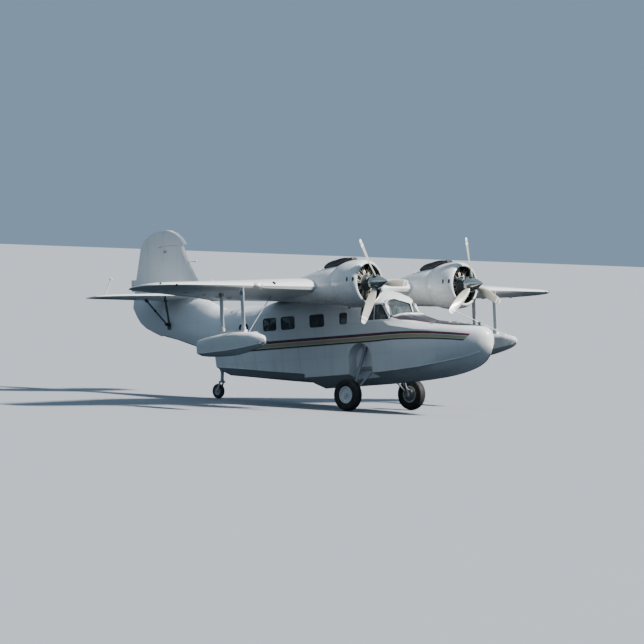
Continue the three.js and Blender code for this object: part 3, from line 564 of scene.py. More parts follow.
@dataclass(frozen=True)
class Cloth:
    """Woven seat fabric with a nap, worn paler in places."""

    name: str
    colour: Colour = (0.20, 0.055, 0.040)
    thread: float = 0.004

    def build(self) -> bpy.types.Material:
        """Makes the material.

        Returns:
            The material.
        """
        shader = Shader(self.name)
        half = self.thread / 2
        weave = abs(shader.x.apart(self.thread) / half - (shader.y + shader.z).apart(self.thread) / half)
        worn = shader.noise(5.0)
        pale = tuple(c * 1.7 + 0.02 for c in self.colour)
        dark = tuple(c * 0.6 for c in self.colour)
        colour = shader.mix(worn.ramp(0.45, 0.8) * 0.5, shader.mix(weave, dark, self.colour), pale)
        return shader.finish(colour, 0.86 + worn * 0.1, weave, 0.0012, Sheen_Weight=0.3)


class Finishes:
    """Every finish of the aircraft, built once and handed out by name."""

    def __init__(self) -> None:
        """Lists the finishes and builds them."""
        frames = Seams(Axis.X, 0.47, -0.18, Axis.Z)
        deck = Seams(Axis.Z, 0.385, 0.34, Axis.X)
        ribs = Seams(Axis.Y, 0.41, 0.16, Axis.X)
        spar = Seams(Axis.X, 0.66, -0.12, Axis.Y)
        tapes = Seams(Axis.Y, 0.30, 0.1, Axis.X, 0.05)
        fin_ribs = Seams(Axis.Z, 0.42, 0.2, Axis.X)
        float_frames = Seams(Axis.X, 0.34, -0.05, Axis.Z)
        cowl_joint = Seams(Axis.X, 0.79, -0.61, Axis.Z, 0.05)
        made = [
            HullPaint("hull_paint", seams=(frames, deck)),
            Paint("wing_paint", seams=(ribs, spar), grime=0.4),
            CanopyPaint("canopy_paint", grime=0.4),
            Paint("white_paint", grime=0.4),
            Paint("fabric_paint", seams=(tapes,), coat=0.1, roughness=0.45),
            Paint("fin_paint", seams=(fin_ribs, frames)),
            Paint("float_paint", seams=(float_frames,), grime=0.65),
            CowlPaint("cowl_paint", seams=(cowl_joint,), grime=0.6, coat=0.4, roughness=0.28),
            BladePaint("blade_paint", (0.50, 0.485, 0.41), 0.40, 0.7),
            Paint("grey_paint", (0.36, 0.38, 0.40), grime=0.8),
            Paint("strut_paint", (0.10, 0.13, 0.14), grime=0.6),
            Paint("black_paint", (0.020, 0.020, 0.022), 0.45, 0.7, coat=0.15),
            Paint("panel_paint", (0.035, 0.037, 0.040), 0.55, 0.4, coat=0.0),
            Paint("red_lamp_paint", (0.45, 0.02, 0.02), 0.12, 0.1, coat=0.8),
            Paint("green_lamp_paint", (0.02, 0.28, 0.12), 0.12, 0.1, coat=0.8),
            Metal("spinner_metal", (0.50, 0.52, 0.49), 0.20, 0.25),
            Metal("engine_metal", (0.075, 0.058, 0.055), 0.50, 0.5, 0.5),
            Metal("case_metal", (0.085, 0.105, 0.112), 0.42, 0.35, 0.5),
            Metal("rod_metal", (0.86, 0.81, 0.71), 0.36, 0.12, 0.15),
            Metal("lead_cover", (0.30, 0.28, 0.24), 0.5, 0.4, 0.4),
            Metal("steel", (0.50, 0.51, 0.52), 0.26, 0.2),
            Metal("worn_steel", (0.34, 0.35, 0.36), 0.42, 0.5),
            Rubber("tyre_rubber"),
            Rubber("seal_rubber", 0.15),
            Glass("window_glass"),
            Glass("cabin_glass", (0.030, 0.038, 0.042), 0.72),
            Glass("lamp_glass", (0.60, 0.64, 0.66), 0.25),
            Cloth("seat_cloth"),
            Cloth("belt_cloth", (0.10, 0.11, 0.10), 0.003),
        ]
        self.made = {finish.name: finish.build() for finish in made}

    def __getitem__(self, name: str) -> bpy.types.Material:
        """The material of that name."""
        return self.made[name]


# Meshes


def angles(count: int, start: float = 0.0) -> list[float]:
    """Evenly spaced angles of a full turn."""
    return [start + 2 * math.pi * i / count for i in range(count)]


def around(angle: float, radius: float = 1.0, x: float = 0.0) -> Vector:
    """A point round the x axis, at an angle from y towards z."""
    return Vector((x, radius * math.cos(angle), radius * math.sin(angle)))


def roll(angle: float) -> Matrix:
    """A turn about the x axis."""
    return Matrix.Rotation(angle, 4, "X")


def sided(points: Iterable[Point], sign: float) -> list[Vector]:
    """Points as given to port, mirrored to starboard."""
    return [Vector((x, sign * y, z)) for x, y, z in points]


def smooth(path: Sequence[Point], steps: int) -> list[Vector]:
    """Points on a curve through the given points.

    Args:
        path: the points that it goes through.
        steps: points made per stretch.

    Returns:
        The points, first and last included.
    """
    spots = [Vector(p) for p in path]
    ends = [spots[0] * 2 - spots[1], *spots, spots[-1] * 2 - spots[-2]]
    made = []
    for i in range(1, len(ends) - 2):
        a, b, c, d = ends[i - 1:i + 3]
        for k in range(steps):
            t = k / steps
            made.append(0.5 * (2 * b + (c - a) * t + (2 * a - 5 * b + 4 * c - d) * t * t
                               + (3 * b - a - 3 * c + d) * t ** 3))
    return [*made, spots[-1]]


class Shape:
    """Points and faces gathered in the aircraft's own axes."""

    def __init__(self) -> None:
        """Starts empty."""
        self.points: list[Vector] = []
        self.faces: list[tuple[int, ...]] = []

    def add(self, points: Iterable[Point], faces: Iterable[Sequence[int]]) -> Shape:
        """Adds points and the faces between them.

        Args:
            points: the new points.
            faces: loops of numbers counted from the first new point.

        Returns:
            The shape, so that calls can be chained.
        """
        start = len(self.points)
        self.points += [Vector(p) for p in points]
        self.faces += [tuple(start + i for i in face) for face in faces]
        return self

    def merge(self, other: Shape, turn: Matrix | None = None) -> Shape:
        """Adds another shape, turned and moved by a matrix if one is given."""
        return self.add([turn @ p if turn else p for p in other.points], other.faces)

    def rings(self, rings: Sequence[Sequence[Point]], closed: bool = False) -> Shape:
        """A skin over loops of equal length.

        Args:
            rings: the loops.
            closed: whether the last loop joins the first; otherwise both ends are closed by faces.

        Returns:
            The shape.
        """
        count = len(rings[0])
        faces: list[Sequence[int]] = []
        for r in range(len(rings) if closed else len(rings) - 1):
            a, b = r * count, ((r + 1) % len(rings)) * count
            for i in range(count):
                j = (i + 1) % count
                faces.append((a + i, a + j, b + j, b + i))
        if not closed:
            faces.append(tuple(reversed(range(count))))
            faces.append(tuple(range((len(rings) - 1) * count, len(rings) * count)))
        return self.add([p for ring in rings for p in ring], faces)

    def rod(self, start: Point, end: Point, radius: float, tip: float | None = None,
            sides: int = 12) -> Shape:
        """A round bar between two points.

        Args:
            start: the middle of its first end.
            end: the middle of its other end.
            radius: its radius at the start.
            tip: its radius at the end, if that differs.
            sides: faces round it.

        Returns:
            The shape.
        """
        a, b = Vector(start), Vector(end)
        turn = (b - a).to_track_quat("Z", "Y")
        loop = [Vector((math.cos(t), math.sin(t), 0)) for t in angles(sides)]
        ends = [(a, radius), (b, radius if tip is None else tip)]
        return self.rings([[centre + turn @ (p * r) for p in loop] for centre, r in ends])

    def tube(self, path: Sequence[Point], radius: float, sides: int = 8, closed: bool = False) -> Shape:
        """A pipe of even radius.

        Args:
            path: the points along its middle.
            radius: its radius.
            sides: faces round it.
            closed: whether its ends meet.

        Returns:
            The shape.
        """
        spots = [Vector(p) for p in path]
        last = len(spots) - 1
        rings = []
        across = None
        for i, spot in enumerate(spots):
            before = spots[i - 1] if i or closed else spot
            after = spots[(i + 1) % len(spots)] if i < last or closed else spot
            along = (after - before).normalized()
            across = across or Vector(UP if abs(along.z) < 0.9 else PORT)
            across = (across - along * across.dot(along)).normalized()
            other = along.cross(across)
            rings.append([spot + (across * math.cos(t) + other * math.sin(t)) * radius
                          for t in angles(sides)])
        return self.rings(rings, closed)

    def bend(self, path: Sequence[Point], steps: int, radius: float, sides: int = 8) -> Shape:
        """A pipe along a smooth curve through the points."""
        return self.tube(smooth(path, steps), radius, sides)

    def turned(self, profile: Sequence[tuple[float, float]], centre: Point = ORIGIN, axis: Point = UP,
               sides: int = 32, closed: bool = False) -> Shape:
        """A body turned round an axis.

        Args:
            profile: distance along the axis and radius, row by row.
            centre: where the axis starts.
            axis: its direction.
            sides: faces round it.
            closed: whether the last row joins the first, as on a ring.

        Returns:
            The shape.
        """
        turn = Vector(axis).to_track_quat("Z", "Y")
        middle = Vector(centre)
        return self.rings([[middle + turn @ Vector((math.cos(t) * r, math.sin(t) * r, along))
                            for t in angles(sides)] for along, r in profile], closed)

    def block(self, centre: Point, size: Point, turn: Matrix | None = None) -> Shape:
        """A box.

        Args:
            centre: its middle.
            size: its size along x, y and z before it is turned.
            turn: a turn about its middle.

        Returns:
            The shape.
        """
        half = Vector(size) / 2
        corners = [Vector((sx * half.x, sy * half.y, sz * half.z))
                   for sx in (-1, 1) for sy in (-1, 1) for sz in (-1, 1)]
        placed = [Vector(centre) + (turn.to_3x3() @ c if turn else c) for c in corners]
        return self.add(placed, ((0, 1, 3, 2), (4, 6, 7, 5), (0, 4, 5, 1), (2, 3, 7, 6),
                                 (0, 2, 6, 4), (1, 5, 7, 3)))

    def mound(self, foot: tuple[Vector, Vector], across: Vector, up: Vector,
              layers: Sequence[tuple[float, float]]) -> Shape:
        """A low oval mound on a surface.

        Args:
            foot: its place on the surface and the normal there.
            across: half its length.
            up: half its width.
            layers: share of the size and height over the surface, from the foot up.

        Returns:
            The shape.
        """
        spot, normal = foot
        return self.rings([[spot + (across * math.cos(t) + up * math.sin(t)) * share + normal * height
                            for t in angles(24)] for share, height in layers])

    def mesh(self, name: str) -> bpy.types.Mesh:
        """The shape as a mesh, still in the shape's own axes.

        Args:
            name: the mesh's name.

        Returns:
            The mesh.
        """
        made = bpy.data.meshes.new(name)
        made.from_pydata(self.points, [], self.faces)
        return made

    def on(self, sign: float) -> Shape:
        """The shape itself to port, its mirror image to starboard.

        Args:
            sign: 1 to port, -1 to starboard.

        Returns:
            The shape or its mirror image.
        """
        if sign > 0:
            return self
        return Shape().add([(p.x, -p.y, p.z) for p in self.points], [f[::-1] for f in self.faces])


class Spots:
    """Places for screws and rivets, each with the way that it faces."""

    def __init__(self) -> None:
        """Starts empty."""
        self.places: list[Vector] = []
        self.ways: list[Vector] = []

    def add(self, place: Point, way: Point) -> None:
        """Adds one place."""
        self.places.append(Vector(place))
        self.ways.append(Vector(way).normalized())

    def wheel_ring(self, count: int, radius: float, y: float, start: float = 0.0) -> None:
        """Adds an even ring about the y axis.

        Args:
            count: how many places there are.
            radius: the ring's radius.
            y: its place on the axis; its sign is the way that it faces.
            start: the first place's angle.
        """
        for angle in angles(count, start):
            self.add((radius * math.cos(angle), y, radius * math.sin(angle)), (0, y, 0))

    def mesh(self, name: str) -> bpy.types.Mesh:
        """Loose points that carry their directions in an attribute.

        Args:
            name: the mesh's name.

        Returns:
            The mesh.
        """
        made = bpy.data.meshes.new(name)
        made.from_pydata(self.places, [], [])
        facing = made.attributes.new("facing", "FLOAT_VECTOR", "POINT")
        facing.data.foreach_set("vector", [c for way in self.ways for c in way])
        return made


# Geometry Nodes rules


class Rule(Nodes):
    """A Geometry Nodes tree with named sizes, baked to plain meshes."""

    def __init__(self, name: str, sizes: dict[str, float | int]) -> None:
        """Makes the tree, with an input for each size and its usual value.

        Args:
            name: the tree's name.
            sizes: the inputs' names and usual values.
        """
        self.tree = bpy.data.node_groups.new(name, "GeometryNodeTree")
        face = self.tree.interface
        for way in ("INPUT", "OUTPUT"):
            face.new_socket("Geometry", in_out=way, socket_type="NodeSocketGeometry")
        self.keys: dict[str, str] = {}
        for label, value in sizes.items():
            kind = "NodeSocketInt" if isinstance(value, int) else "NodeSocketFloat"
            made = face.new_socket(label, in_out="INPUT", socket_type=kind)
            made.default_value = value
            self.keys[label] = made.identifier
        finish = face.new_socket("Finish", in_out="INPUT", socket_type="NodeSocketMaterial")
        self.keys["Finish"] = finish.identifier
        self.start = self.tree.nodes.new("NodeGroupInput")
        self.size = {label: Value(self, self.start.outputs[label]) for label in sizes}

    def geometry(self, kind: str, inputs: dict, settings: dict | None = None) -> bpy.types.NodeSocket:
        """Adds a geometry node and gives its first output."""
        return self.node("GeometryNode" + kind, settings, inputs).outputs[0]

    def index(self) -> Value:
        """The number of each point."""
        return Value(self, self.geometry("InputIndex", {}))

    def vector(self, x: Value | float = 0.0, y: Value | float = 0.0,
               z: Value | float = 0.0) -> bpy.types.NodeSocket:
        """A vector socket made of three values."""
        return self.node("CombineXYZ", inputs={0: x, 1: y, 2: z}).outputs[0]

    def turns(self, count: Value, shape: bpy.types.NodeSocket) -> bpy.types.NodeSocket:
        """Repeats a geometry evenly round the x axis.

        Args:
            count: how many there are.
            shape: the geometry that is repeated.

        Returns:
            The instances' socket.
        """
        line = self.geometry("MeshLine", {"Count": count, "Offset": (0.0, 0.0, 0.0)})
        angle = self.index() * (2 * math.pi) / count
        return self.geometry("InstanceOnPoints", {
            "Points": line, "Instance": shape, "Rotation": self.vector(angle)})

    def close(self, geometry: bpy.types.NodeSocket) -> None:
        """Ends the tree: instances made real, then given the finish.

        Args:
            geometry: the socket with the finished geometry.
        """
        real = self.geometry("RealizeInstances", {0: geometry})
        done = self.geometry("SetMaterial", {"Geometry": real, "Material": self.start.outputs["Finish"]})
        self.tree.links.new(done, self.tree.nodes.new("NodeGroupOutput").inputs[0])

    def bake(self, seed: bpy.types.Mesh, finish: bpy.types.Material,
             **sizes: float | int) -> bpy.types.Mesh:
        """Runs the tree on a mesh.

        Args:
            seed: the mesh that it starts from.
            finish: the material of the result.
            **sizes: values that differ from the usual ones, by the inputs' names.

        Returns:
            A plain mesh.
        """
        holder = bpy.data.objects.new("holder", seed)
        bpy.context.scene.collection.objects.link(holder)
        modifier = holder.modifiers.new("rule", "NODES")
        modifier.node_group = self.tree
        for label, value in {**sizes, "Finish": finish}.items():
            modifier[self.keys[label]] = value
        made = settled(holder)
        bpy.data.objects.remove(holder)
        return made


def settled(holder: bpy.types.Object) -> bpy.types.Mesh:
    """The mesh that an object's modifiers give it; the modifiers are then removed.

    Args:
        holder: the object.

    Returns:
        A new mesh.
    """
    graph = bpy.context.evaluated_depsgraph_get()
    made = bpy.data.meshes.new_from_object(holder.evaluated_get(graph))
    holder.modifiers.clear()
    return made


class RingRule(Rule):
    """Repeats one shape evenly round the x axis."""

    def __init__(self) -> None:
        """Builds the tree."""
        super().__init__("ring", {"Count": 9})
        self.close(self.turns(self.size["Count"], self.start.outputs["Geometry"]))


class CylinderRule(Rule):
    """Finned engine cylinders set evenly round the crankcase."""

    def __init__(self) -> None:
        """Builds the tree: thin round fins up a barrel, then the ring of barrels."""
        super().__init__("finned_cylinders", {
            "Count": 9, "Fins": 15, "Foot": 0.205, "Reach": 0.185, "Radius": 0.070,
            "Flare": 0.010, "Thickness": 0.0045, "Core": 0.80, "Overlap": 0.02, "Sides": 22})
        size = self.size
        gaps = size["Fins"] - 1.0
        line = self.geometry("MeshLine", {
            "Count": size["Fins"], "Start Location": self.vector(z=size["Foot"]),
            "Offset": self.vector(z=size["Reach"] / gaps)})
        fin = self.geometry("MeshCylinder", {
            "Vertices": size["Sides"], "Radius": 1.0, "Depth": size["Thickness"]})
        wide = size["Radius"] + size["Flare"] * self.index() / gaps
        fins = self.geometry("InstanceOnPoints", {
            "Points": line, "Instance": fin, "Scale": self.vector(wide, wide, 1.0)})
        barrel = self.geometry("MeshCylinder", {
            "Vertices": size["Sides"], "Radius": size["Radius"] * size["Core"],
            "Depth": size["Reach"] + size["Overlap"]})
        raised = self.geometry("Transform", {
            "Geometry": barrel, "Translation": self.vector(z=size["Foot"] + size["Reach"] / 2)})
        joined = self.node("GeometryNodeJoinGeometry")
        for part in (fins, raised):
            self.tree.links.new(part, joined.inputs[0])
        self.close(self.turns(size["Count"], joined.outputs[0]))


class StudRule(Rule):
    """Screw, rivet and bolt heads on points that know which way they face."""

    def __init__(self) -> None:
        """Builds the tree."""
        super().__init__("studs", {"Radius": 0.004, "Height": 0.0016, "Sides": 8, "Seed": 7,
                                   "Crown": 0.62})
        facing = self.geometry("InputNamedAttribute", {"Name": "facing"}, {"data_type": "FLOAT_VECTOR"})
        upright = self.node("FunctionNodeAlignRotationToVector", {"axis": "Z"}, {"Vector": facing})
        spin = self.node("FunctionNodeRandomValue", {"data_type": "FLOAT"}, {
            "Seed": self.size["Seed"]})
        angle = Value(self, spin.outputs[1]) * (2 * math.pi)
        turned = self.node("FunctionNodeRotateRotation", {"rotation_space": "LOCAL"}, {
            0: upright.outputs[0], 1: self.vector(z=angle)})
        head = self.geometry("MeshCone", {
            "Vertices": self.size["Sides"], "Radius Top": self.size["Radius"] * self.size["Crown"],
            "Radius Bottom": self.size["Radius"], "Depth": self.size["Height"]})
        self.close(self.geometry("InstanceOnPoints", {
            "Points": self.start.outputs["Geometry"], "Instance": head, "Rotation": turned.outputs[0]}))


# Workshop


class Skin:
    """The solids' surface in the aircraft's axes, to seat small pieces on."""

    def __init__(self, frame: dict, nodes: Sequence[str]) -> None:
        """Gathers the triangles of the given nodes.

        Args:
            frame: the loaded frame.
            nodes: the CAD nodes.
        """
        back = ATTITUDE.matrix().inverted()
        gathered = Shape()
        for node in nodes:
            mesh = frame["nodes"][node].data
            gathered.add([back @ vertex.co for vertex in mesh.vertices],
                         [face.vertices for face in mesh.polygons])
        self.tree = BVHTree.FromPolygons(gathered.points, gathered.faces)

    def hit(self, start: Point, towards: Point = DOWN) -> tuple[Vector, Vector] | None:
        """Where a ray meets the surface.

        Args:
            start: where the ray starts.
            towards: its direction.

        Returns:
            The place and the outward normal, or None.
        """
        way = Vector(towards).normalized()
        spot, normal, _, _ = self.tree.ray_cast(Vector(start), way)
        if spot is None:
            return None
        return spot, normal if normal.dot(way) < 0 else -normal

    def seat(self, start: Point, towards: Point, profile: Sequence[tuple[float, float]],
             sides: int = 24) -> Shape:
        """A turned body standing where a ray meets the surface."""
        return Shape().turned(profile, *self.hit(start, towards), sides)

    def ribbon(self, path: Sequence[tuple[Point, Point]], half: float, height: float) -> Shape:
        """A low rounded strip laid on the surface.

        Args:
            path: places and normals along it.
            half: half its width.
            height: how far it stands off.

        Returns:
            The strip.
        """
        rings = []
        for i, (spot, normal) in enumerate(path):
            before, after = path[max(i - 1, 0)][0], path[min(i + 1, len(path) - 1)][0]
            across = (after - before).cross(normal).normalized()
            rings.append([spot + across * half * a + normal * b for a, b in (
                (-1.0, -0.006), (-1.0, height * 0.35), (-0.62, height * 0.92), (0.0, height),
                (0.62, height * 0.92), (1.0, height * 0.35), (1.0, -0.006))])
        return Shape().rings(rings)


class Workshop:
    """Turns shapes into finished pieces that ride on the bodies."""

    def __init__(self, frame: dict, finishes: Finishes) -> None:
        """Keeps the loaded frame and the finishes.

        Args:
            frame: the loaded frame.
            finishes: the finishes by name.
        """
        self.frame = frame
        self.finishes = finishes
        self.matrix = ATTITUDE.matrix()
        self.ring_rule = RingRule()
        self.cylinder_rule = CylinderRule()
        self.stud_rule = StudRule()
        self.count = 0

    def skin(self, *nodes: str) -> Skin:
        """The surface of some CAD nodes."""
        return Skin(self.frame, nodes)

    def dress(self, node: str, finish: str) -> None:
        """Gives a CAD node its finish, smooth across its shallow edges.

        Args:
            node: the CAD node.
            finish: the finish's name.
        """
        piece = self.frame["nodes"][node]
        piece.data.materials.clear()
        piece.data.materials.append(self.finishes[finish])
        for name in ("custom_normal", "sharp_face", "sharp_edge"):
            found = piece.data.attributes.get(name)
            if found:
                piece.data.attributes.remove(found)
        piece.data.polygons.foreach_set("use_smooth", [True] * len(piece.data.polygons))
        piece.modifiers.new("weld", "WELD").merge_threshold = WELD
        piece.modifiers.new("split", "EDGE_SPLIT").split_angle = math.radians(32.0)
        LOG.info("dressed %s with %s", node, finish)

    def piece(self, shape: Shape | bpy.types.Mesh, name: str, finish: str, body: str = "hull",
              slot: str | None = None, crease: float = 32.0, bevel: float = 0.0,
              levels: int = 0, replaces: Sequence[str] = (),
              place: Matrix | None = None) -> bpy.types.Object:
        """Makes a finished piece from a shape.

        Args:
            shape: a shape or a mesh, in the aircraft's axes once it is placed.
            name: the piece's name.
            finish: the finish's name.
            body: the body that it rides on.
            slot: not used.
            crease: the angle past which an edge stays sharp.
            bevel: width of a rounded edge.
            levels: subdivision levels.
            replaces: the CAD nodes that it stands for.
            place: the move to the aircraft's axes, if the shape isn't there yet.

        Returns:
            The piece's object.
        """
        mesh = shape.mesh(name) if isinstance(shape, Shape) else shape
        mesh.name = name
        mesh.transform(self.matrix @ place if place else self.matrix)
        made = bpy.data.objects.new(name, mesh)
        bpy.context.scene.collection.objects.link(made)
        net = bmesh.new()
        net.from_mesh(mesh)
        bmesh.ops.remove_doubles(net, verts=net.verts, dist=WELD)
        bmesh.ops.recalc_face_normals(net, faces=net.faces)
        for edge in net.edges:
            edge.smooth = len(edge.link_faces) == 2 and edge.calc_face_angle(0.0) < math.radians(crease)
        for face in net.faces:
            face.smooth = True
        net.to_mesh(mesh)
        net.free()
        mesh.materials.clear()
        mesh.materials.append(self.finishes[finish])
        if bevel:
            rounded = made.modifiers.new("bevel", "BEVEL")
            rounded.width = bevel
            rounded.segments = 2
            rounded.limit_method = "ANGLE"
            rounded.angle_limit = math.radians(crease)
        if levels:
            finer = made.modifiers.new("finer", "SUBSURF")
            finer.levels = finer.render_levels = levels
        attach(made, body)
        if replaces:
            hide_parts(*replaces)
        self.count += 1
        LOG.info("made %s on %s", name, body)
        return made

    def ruled(self, rule: Rule, shape: Shape, name: str, finish: str, body: str = "hull",
              slot: str | None = None, place: Matrix | None = None) -> None:
        """Makes a piece by running one of the rules on a shape.

        Args:
            rule: the tree that is run.
            shape: what it starts from.
            name: the piece's name.
            finish: the finish's name.
            body: the body that it rides on.
            slot: passed on to piece, where it is not used.
            place: the move to the aircraft's axes.
        """
        mesh = rule.bake(shape.mesh(name), self.finishes[finish])
        self.piece(mesh, name, finish, body, slot, place=place)

    def studs(self, spots: Spots, name: str, body: str = "hull", radius: float = 0.0045,
              height: float = 0.0014, sides: int = 8, place: Matrix | None = None) -> None:
        """Makes one piece of steel screw or bolt heads.

        Args:
            spots: where they sit and which way they face.
            name: the piece's name.
            body: the body that they ride on.
            radius: radius of a head.
            height: how far it stands out.
            sides: faces round it; six for a hexagon.
            place: the move to the aircraft's axes.
        """
        mesh = self.stud_rule.bake(spots.mesh(name), self.finishes["steel"], Radius=radius,
                                   Height=height, Sides=sides)
        self.piece(mesh, name, "steel", body, place=place)


@dataclass
class Group:
    """A group of pieces that is made in the workshop."""

    shop: Workshop


@dataclass
class SideGroup(Group):
    """A group of pieces on one side of the aircraft."""

    side: str
    sign: float


# Power units


@dataclass
class PowerGroup(SideGroup):
    """Pieces that stand round a propeller's axis."""

    def place(self) -> Matrix:
        """The move from the propeller's axis to the aircraft's axes."""
        return Matrix.Translation((0.0, self.sign * HUB_Y, HUB_Z))


@dataclass
class Engine(PowerGroup):
    """A radial engine with finned cylinders, pushrods and a wiring ring."""

    plane: float = -2.52
    cylinders: int = 9
    case: Rows = (
        (-2.092, 0.046), (-2.098, 0.051), (-2.145, 0.053), (-2.150, 0.078), (-2.158, 0.086),
        (-2.168, 0.112), (-2.186, 0.124), (-2.205, 0.132), (-2.212, 0.146), (-2.226, 0.148),
        (-2.232, 0.140), (-2.275, 0.166), (-2.320, 0.186), (-2.327, 0.198), (-2.345, 0.200),
        (-2.352, 0.190), (-2.420, 0.203), (-2.640, 0.206), (-2.700, 0.210), (-2.896, 0.236))
    nut_rings: Rows = ((0.140, -2.2085), (0.192, -2.3235))
    head_fins: int = 9
    fin_foot: float = 0.398
    fin_pitch: float = 0.0135
    fin_half: tuple[float, float, float] = (0.076, 0.075, 0.0024)
    fin_taper: float = 0.002
    core_half: tuple[float, float] = (0.058, 0.055)
    core_ends: tuple[float, float] = (0.385, 0.520)
    box_side: float = 0.043
    box_height: float = 0.497
    box_tilt: float = 0.30
    boxes: tuple[tuple[float, Point], ...] = (
        (0.052, (0.072, 0.046, 0.058)), (0.090, (0.008, 0.036, 0.046)))
    rod: Rows = ((-2.335, 0.020, 0.176), (-2.432, 0.040, 0.478))
    rod_parts: Rows = ((0.0, 1.0, 0.0115), (0.0, 0.10, 0.0165), (0.93, 1.0, 0.0160))
    lead: Rows = ((-2.300, 0.020, 0.212), (-2.300, 0.058, 0.262), (-2.372, 0.076, 0.360),
                  (-2.424, 0.066, 0.430))
    plug: Rows = ((-2.440, 0.062, 0.430), (-2.404, 0.070, 0.430))
    ring: tuple[float, float, float] = (-2.300, 0.212, 0.011)

    def head(self) -> Shape:
        """The fins and the two rocker boxes of one upright cylinder.

        Returns:
            The head, on its cylinder over the engine's axis.
        """
        made = Shape()
        long, wide, thick = self.fin_half
        for i in range(self.head_fins):
            height = self.fin_foot + i * self.fin_pitch
            made.rings([[(self.plane + long * c, (wide - self.fin_taper * i) * s, height + lift)
                         for c, s in OCTAGON] for lift in (-thick, thick)])
        long, wide = self.core_half
        made.rings([[(self.plane + long * c, wide * s, height) for c, s in OCTAGON]
                    for height in self.core_ends])
        for side in (-1, 1):
            for x, size in self.boxes:
                made.block((self.plane + x, side * self.box_side, self.box_height), size,
                           roll(-side * self.box_tilt))
        return made

    def rods(self) -> Shape:
        """The two pushrod tubes of one cylinder, with their sleeves.

        Returns:
            The tubes of the upright cylinder.
        """
        made = Shape()
        for side in (-1, 1):
            foot, top = sided(self.rod, side)
            for start, end, radius in self.rod_parts:
                made.rod(foot.lerp(top, start), foot.lerp(top, end), radius, sides=10)
        return made

    def leads(self) -> Shape:
        """The plug leads of one cylinder, from the wiring ring up to the head.

        Returns:
            The leads of the upright cylinder.
        """
        made = Shape()
        for side in (-1, 1):
            made.bend(sided(self.lead, side), 4, 0.0050, 6)
            made.rod(*sided(self.plug, side), 0.010, sides=6)
        return made

    def baffle(self) -> Shape:
        """The bent plate that closes the gap beside one cylinder.

        Returns:
            The plate, half a cylinder's turn from upright.
        """
        corners = ((-0.030, 0.250, 0.0), (0.030, 0.250, 0.0), (0.085, 0.480, 1.0), (-0.085, 0.480, 1.0))
        plate = Shape().rings([[(self.plane - 0.05 + bent * lean, y, z) for y, z, bent in corners]
                               for lean in (0.028, 0.032)])
        return Shape().merge(plate, roll(math.pi / self.cylinders))

    def build(self) -> None:
        """Makes one engine in place of its solid."""
        shop, side, place, slot = self.shop, self.side, self.place(), "engine_metal"
        case = Shape().turned([(-x, r) for x, r in self.case], ORIGIN, BACK, 48)
        nuts = Spots()
        for angle in angles(24):
            for radius, x in self.nut_rings:
                nuts.add(around(angle, radius, x), FORWARD)
        shop.piece(case, f"engine_case_{side}", "case_metal", slot=slot, place=place, crease=40,
                   replaces=(f"engine_{side}",))
        shop.studs(nuts, f"engine_nuts_{side}", radius=0.0070, height=0.008, sides=6, place=place)
        shop.ruled(shop.cylinder_rule, Shape(), f"engine_cylinders_{side}", "engine_metal", slot=slot,
                   place=place @ Matrix.Translation((self.plane, 0, 0)))
        for shape, name, finish in (
                (self.head(), "heads", "engine_metal"), (self.rods(), "pushrods", "rod_metal"),
                (self.leads(), "leads", "lead_cover"), (self.baffle(), "baffles", "engine_metal")):
            shop.ruled(shop.ring_rule, shape, f"engine_{name}_{side}", finish, slot=slot, place=place)
        x, radius, thick = self.ring
        ring = Shape().tube([around(a, radius, x) for a in angles(64)], thick, 10, closed=True)
        shop.piece(ring, f"wiring_ring_{side}", "lead_cover", slot=slot, place=place)


